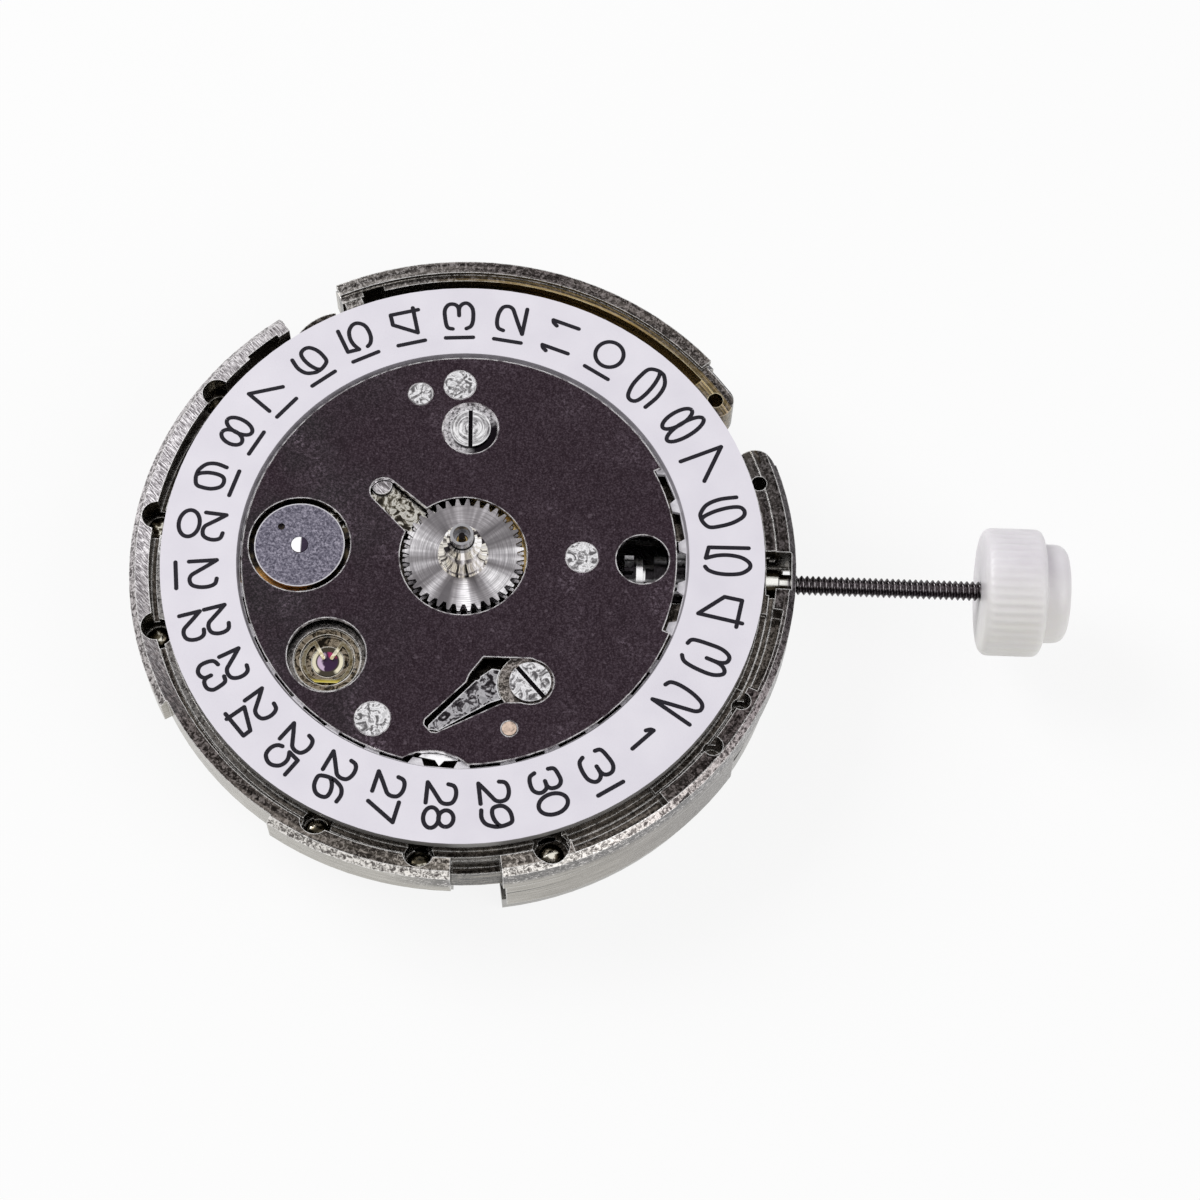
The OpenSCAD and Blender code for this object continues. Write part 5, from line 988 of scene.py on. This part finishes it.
def digits_of(number):
    """Each digit's glyph, its shift along the radius and half its width."""
    text = {1: "f", 11: "ff"}.get(number, str(number))
    if text == "f":
        return [("f", 0.0, 0.75)]
    if text == "ff":
        return [("f", -0.6, 0.75), ("f", 0.6, 0.75)]
    if len(text) == 1:
        return [(text, 0.0, 0.87)]
    if text[0] == "1":
        return [("1", -0.77, 0.5), (text[1], 0.2, 0.57)]
    if text[1] == "1":
        return [(text[0], -0.21, 0.54), ("1", 0.85, 0.5)]
    return [(text[0], -0.49, 0.405), (text[1], 0.49, 0.405)]


def numerals():
    """The 31 days; each line of a number lies a hair above the last, so that no two share a plane."""
    made = bmesh.new()
    for number in range(1, 32):
        angle = math.radians(FIRST_NUMERAL + NUMERAL_STEP * number)
        outward = (math.cos(angle), math.sin(angle))
        height = INK_TOP_MM
        for digit, shift, half_w in digits_of(number):
            place = numeral_place(shift, outward)
            for kind, points in GLYPHS[digit]:
                for line in stroke_lines(kind, points, half_w, DIGIT_HALF_H):
                    height += INK_LAYER_MM
                    add_ribbon(made, line, place, height)
    piece = new_piece("date_numerals", made, ink("numeral_ink"), "date_ring", smooth=False)


def lathe_x(made, profile, around, radius_at=None):
    """Surface round the stem's axis; profile holds (x, r) in millimetres."""
    rings = []
    for x, r in profile:
        ring = []
        for i in range(around):
            a = 2 * math.pi * i / around
            here = radius_at(x, r, a) if radius_at else r
            ring.append(made.verts.new(Vector((x, here * math.cos(a), STEM_Z + here * math.sin(a))) * MM))
        rings.append(ring)
    for one, two in zip(rings, rings[1:]):
        for i in range(around):
            made.faces.new((one[i], one[(i + 1) % around], two[(i + 1) % around], two[i]))
    made.faces.new(rings[0])
    made.faces.new(rings[-1])


def thread_steel(name):
    """Dark steel; a painted highlight lies in one band along the crests of the thread and the smooth stem.
    """
    look = Look(name, (0.05, 0.042, 0.046), 1.0, 0.24)
    fine = look.noise(9.0, 4.0, 0.7)
    x, y, z = look.parts()
    steel = look.ramp(fine, [(0.35, 0.022, 0.017, 0.020), (0.6, 0.085, 0.075, 0.080)])
    turn = look.math("ARCTAN2", look.minus(z, STEM_Z), y)
    # Painted highlight in one band round the stem's axis, on the crests and the smooth stem
    aside = look.math("ABSOLUTE", look.minus(turn, math.radians(STEM_GLINT_DEG)))
    band = look.level(aside, 0.55, 0.25)
    wave = look.math("SINE", look.minus(look.times(x, 2 * math.pi / THREAD_PITCH), turn))
    glint_spots = look.times(band, look.level(wave, -0.2, 0.5))
    threaded = look.mix(look.times(glint_spots, 0.9), steel, (0.66, 0.63, 0.64))
    smooth = look.mix(look.level(aside, 0.4, 0.2), (0.075, 0.062, 0.040), (0.95, 0.94, 0.90))
    look.paint(look.mix(look.level(x, THREAD_START - 0.25, THREAD_START - 0.2), smooth, threaded))
    look.bump(fine, GRAIN_DEPTH)
    return look


def thread_radius(x, r, a):
    """Radius of the helical thread, crest or root, at a place along it and a turn round it."""
    turn = ((x - THREAD_START) / THREAD_PITCH - a / (2 * math.pi)) % 1.0
    crest = max(0.0, 1 - abs(2 * turn - 1) / THREAD_CREST_SHARE)
    return r - THREAD_DEPTH + THREAD_DEPTH * crest


def stem_thread():
    """The stem with a real helical thread, in the place of the ringed solid."""
    made = bmesh.new()
    count = int((THREAD_END - THREAD_START) / THREAD_PITCH * THREAD_STEPS)
    profile = [(THREAD_START + i * THREAD_PITCH / THREAD_STEPS, THREAD_R) for i in range(count + 1)]
    lathe_x(made, profile, 32, thread_radius)
    lathe_x(made, STEM_PILOT, 32)
    lathe_x(made, [(x, STEM_SQUARE_HALF * math.sqrt(2)) for x in STEM_SQUARE_ENDS], 4)
    lathe_x(made, STEM_BODY, 40)
    piece = new_piece("stem_thread", made, thread_steel("thread_steel"), "stem_and_crown", smooth=False)
    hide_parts("stem")


def round_corner(x0, r0, x1, r1, x2, r2, radius, steps=6):
    """Points that round the corner (x1, r1) between two neighbours."""
    a = Vector((x0 - x1, r0 - r1)).normalized()
    b = Vector((x2 - x1, r2 - r1)).normalized()
    corner = Vector((x1, r1))
    points = []
    for i in range(steps + 1):
        t = i / steps
        start = corner + a * radius
        end = corner + b * radius
        points.append(tuple(start * (1 - t) ** 2 + corner * 2 * t * (1 - t) + end * t ** 2))
    return points


def crown_body():
    """Milky transport crown with fine ribs that fade out at its rounded ends."""
    x0 = CROWN_X
    x1 = x0 + CROWN_LEN
    x2 = x1 + CROWN_CAP_LEN
    r = CROWN_R
    rc = CROWN_CAP_R
    profile = [(x0 + 1.1, THREAD_R - 0.02), (x0 + 0.02, THREAD_R - 0.02), (x0, THREAD_R + 0.04)]
    profile += round_corner(x0, 0.5, x0, r, x1, r, CROWN_BACK_ROUND)
    for i in range(1, 6):
        profile.append((x0 + CROWN_BACK_ROUND + (CROWN_LEN - 2 * CROWN_BACK_ROUND) * i / 6, r))
    profile += round_corner(x0, r, x1, r, x1, rc, CROWN_FRONT_ROUND)
    profile += round_corner(x1, r, x1, rc, x2, rc, CAP_FOOT_ROUND)
    profile += round_corner(x1, rc, x2, rc, x2, 0, CAP_ROUND, 8)
    profile += [(x2, 0.9), (x2, 0.4)]

    def radius_at(x, radius, a):
        inside = min(x - x0, x1 - x)
        if radius < rc + 0.3 or inside <= 0:
            return radius
        fade = min(1.0, max(0.0, (inside - 0.05) / 0.4))
        wave = 0.5 - 0.5 * math.cos(CROWN_RIBS * a)
        return radius - CROWN_RIB_DEPTH * fade * wave

    made = bmesh.new()
    lathe_x(made, profile, CROWN_RIBS * 6, radius_at)
    piece = new_piece("crown_body", made, milky_plastic("milky_plastic"), "stem_and_crown")
    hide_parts("crown")


# Round bites in the rim: distance from the axis in millimetres, and direction in degrees
BITES = ((12.2, 146.2), (12.15, 173.5), (12.15, -164.3), (12.0, -114.9), (12.1, -95.3), (12.2, -71.6))
BITE_Z = -1.76
BITE_R = 0.5
BITE_RISE = 0.45
DOME_AROUND = 28
DOME_STEPS = 7


def dome(made, x, y):
    """Low dome in the bottom of a bite, in millimetres."""
    rings = []
    for i in range(DOME_STEPS):
        t = i / DOME_STEPS * math.pi / 2
        r = BITE_R * math.cos(t)
        z = BITE_Z + BITE_RISE * math.sin(t)
        ring = []
        for k in range(DOME_AROUND):
            turn = 2 * math.pi * k / DOME_AROUND
            ring.append(made.verts.new(Vector((x + r * math.cos(turn), y + r * math.sin(turn), z)) * MM))
        rings.append(ring)
    top = made.verts.new(Vector((x, y, BITE_Z + BITE_RISE)) * MM)
    for one, two in zip(rings, rings[1:]):
        for k in range(DOME_AROUND):
            following = (k + 1) % DOME_AROUND
            made.faces.new((one[k], one[following], two[following], two[k]))
    for k in range(DOME_AROUND):
        made.faces.new((rings[-1][k], rings[-1][(k + 1) % DOME_AROUND], top))
    made.faces.new(rings[0])


def bite_bottoms():
    """Ball-like bottoms in the round bites of the rim."""
    made = bmesh.new()
    for r, degrees in BITES:
        angle = math.radians(degrees)
        dome(made, r * math.cos(angle), r * math.sin(angle))
    piece = new_piece("rim_bite_bottoms", made, pocket_metal("pocket_metal"), "movement")


# Floor and world: reach in metres, gap below the part in millimetres, then colours and shares of light
FLOOR_REACH = 0.6
FLOOR_GAP = 0.001
FLOOR_WHITE = 0.86
FLOOR_OWN_SHARE = 0.86
WORLD_LIGHT = 0.42


def make_floor():
    """Pale floor that keeps the shadow and looks white to the camera and in mirrors."""
    made = bmesh.new()
    bmesh.ops.create_grid(made, x_segments=2, y_segments=2, size=FLOOR_REACH)
    mesh = bpy.data.meshes.new("floor")
    made.to_mesh(mesh)
    made.free()
    floor = bpy.data.objects.new("floor", mesh)
    floor.location.z = (REST_Z - FLOOR_GAP) * MM
    show(floor)
    material = bpy.data.materials.new("floor")
    material.use_nodes = True
    material.node_tree.nodes.clear()
    tree = Tree(material.node_tree)
    matte = tree.node("ShaderNodeBsdfDiffuse")
    matte.inputs["Color"].default_value = (FLOOR_WHITE, FLOOR_WHITE, FLOOR_WHITE, 1)
    share = tree.times(tree.seen(), FLOOR_OWN_SHARE)
    tree.end("ShaderNodeOutputMaterial", share, matte, tree.node("ShaderNodeEmission"))
    mesh.materials.append(material)


def make_world():
    """Even soft light on the object, and plain white to the camera and in mirrors."""
    world = bpy.data.worlds.new("world")
    bpy.context.scene.world = world
    world.use_nodes = True
    world.node_tree.nodes.clear()
    tree = Tree(world.node_tree)
    light = tree.node("ShaderNodeBackground")
    light.inputs["Color"].default_value = (WORLD_LIGHT, WORLD_LIGHT, WORLD_LIGHT, 1)
    white = tree.node("ShaderNodeBackground")
    white.inputs["Color"].default_value = (1, 1, 1, 1)
    tree.end("ShaderNodeOutputWorld", tree.seen(), light, white)


def make_lamp(name, place, side, watts):
    """Square lamp that looks at the middle of the part; place and side are in metres."""
    data = bpy.data.lights.new(name, "AREA")
    data.shape = "SQUARE"
    data.size = side
    data.energy = watts
    lamp = bpy.data.objects.new(name, data)
    lamp.location = place
    lamp.rotation_mode = "QUATERNION"
    lamp.rotation_quaternion = Vector(place).to_track_quat("Z", "Y")
    show(lamp)


make_camera()
make_floor()
make_world()
make_lamp("key", (-0.24, 0.13, 0.22), 0.20, 0.80)
make_lamp("fill", (0.24, -0.14, 0.22), 0.24, 0.40)
dress_nodes()
numerals()
stem_thread()
crown_body()
bite_bottoms()
bpy.context.scene.view_settings.view_transform = "Standard"
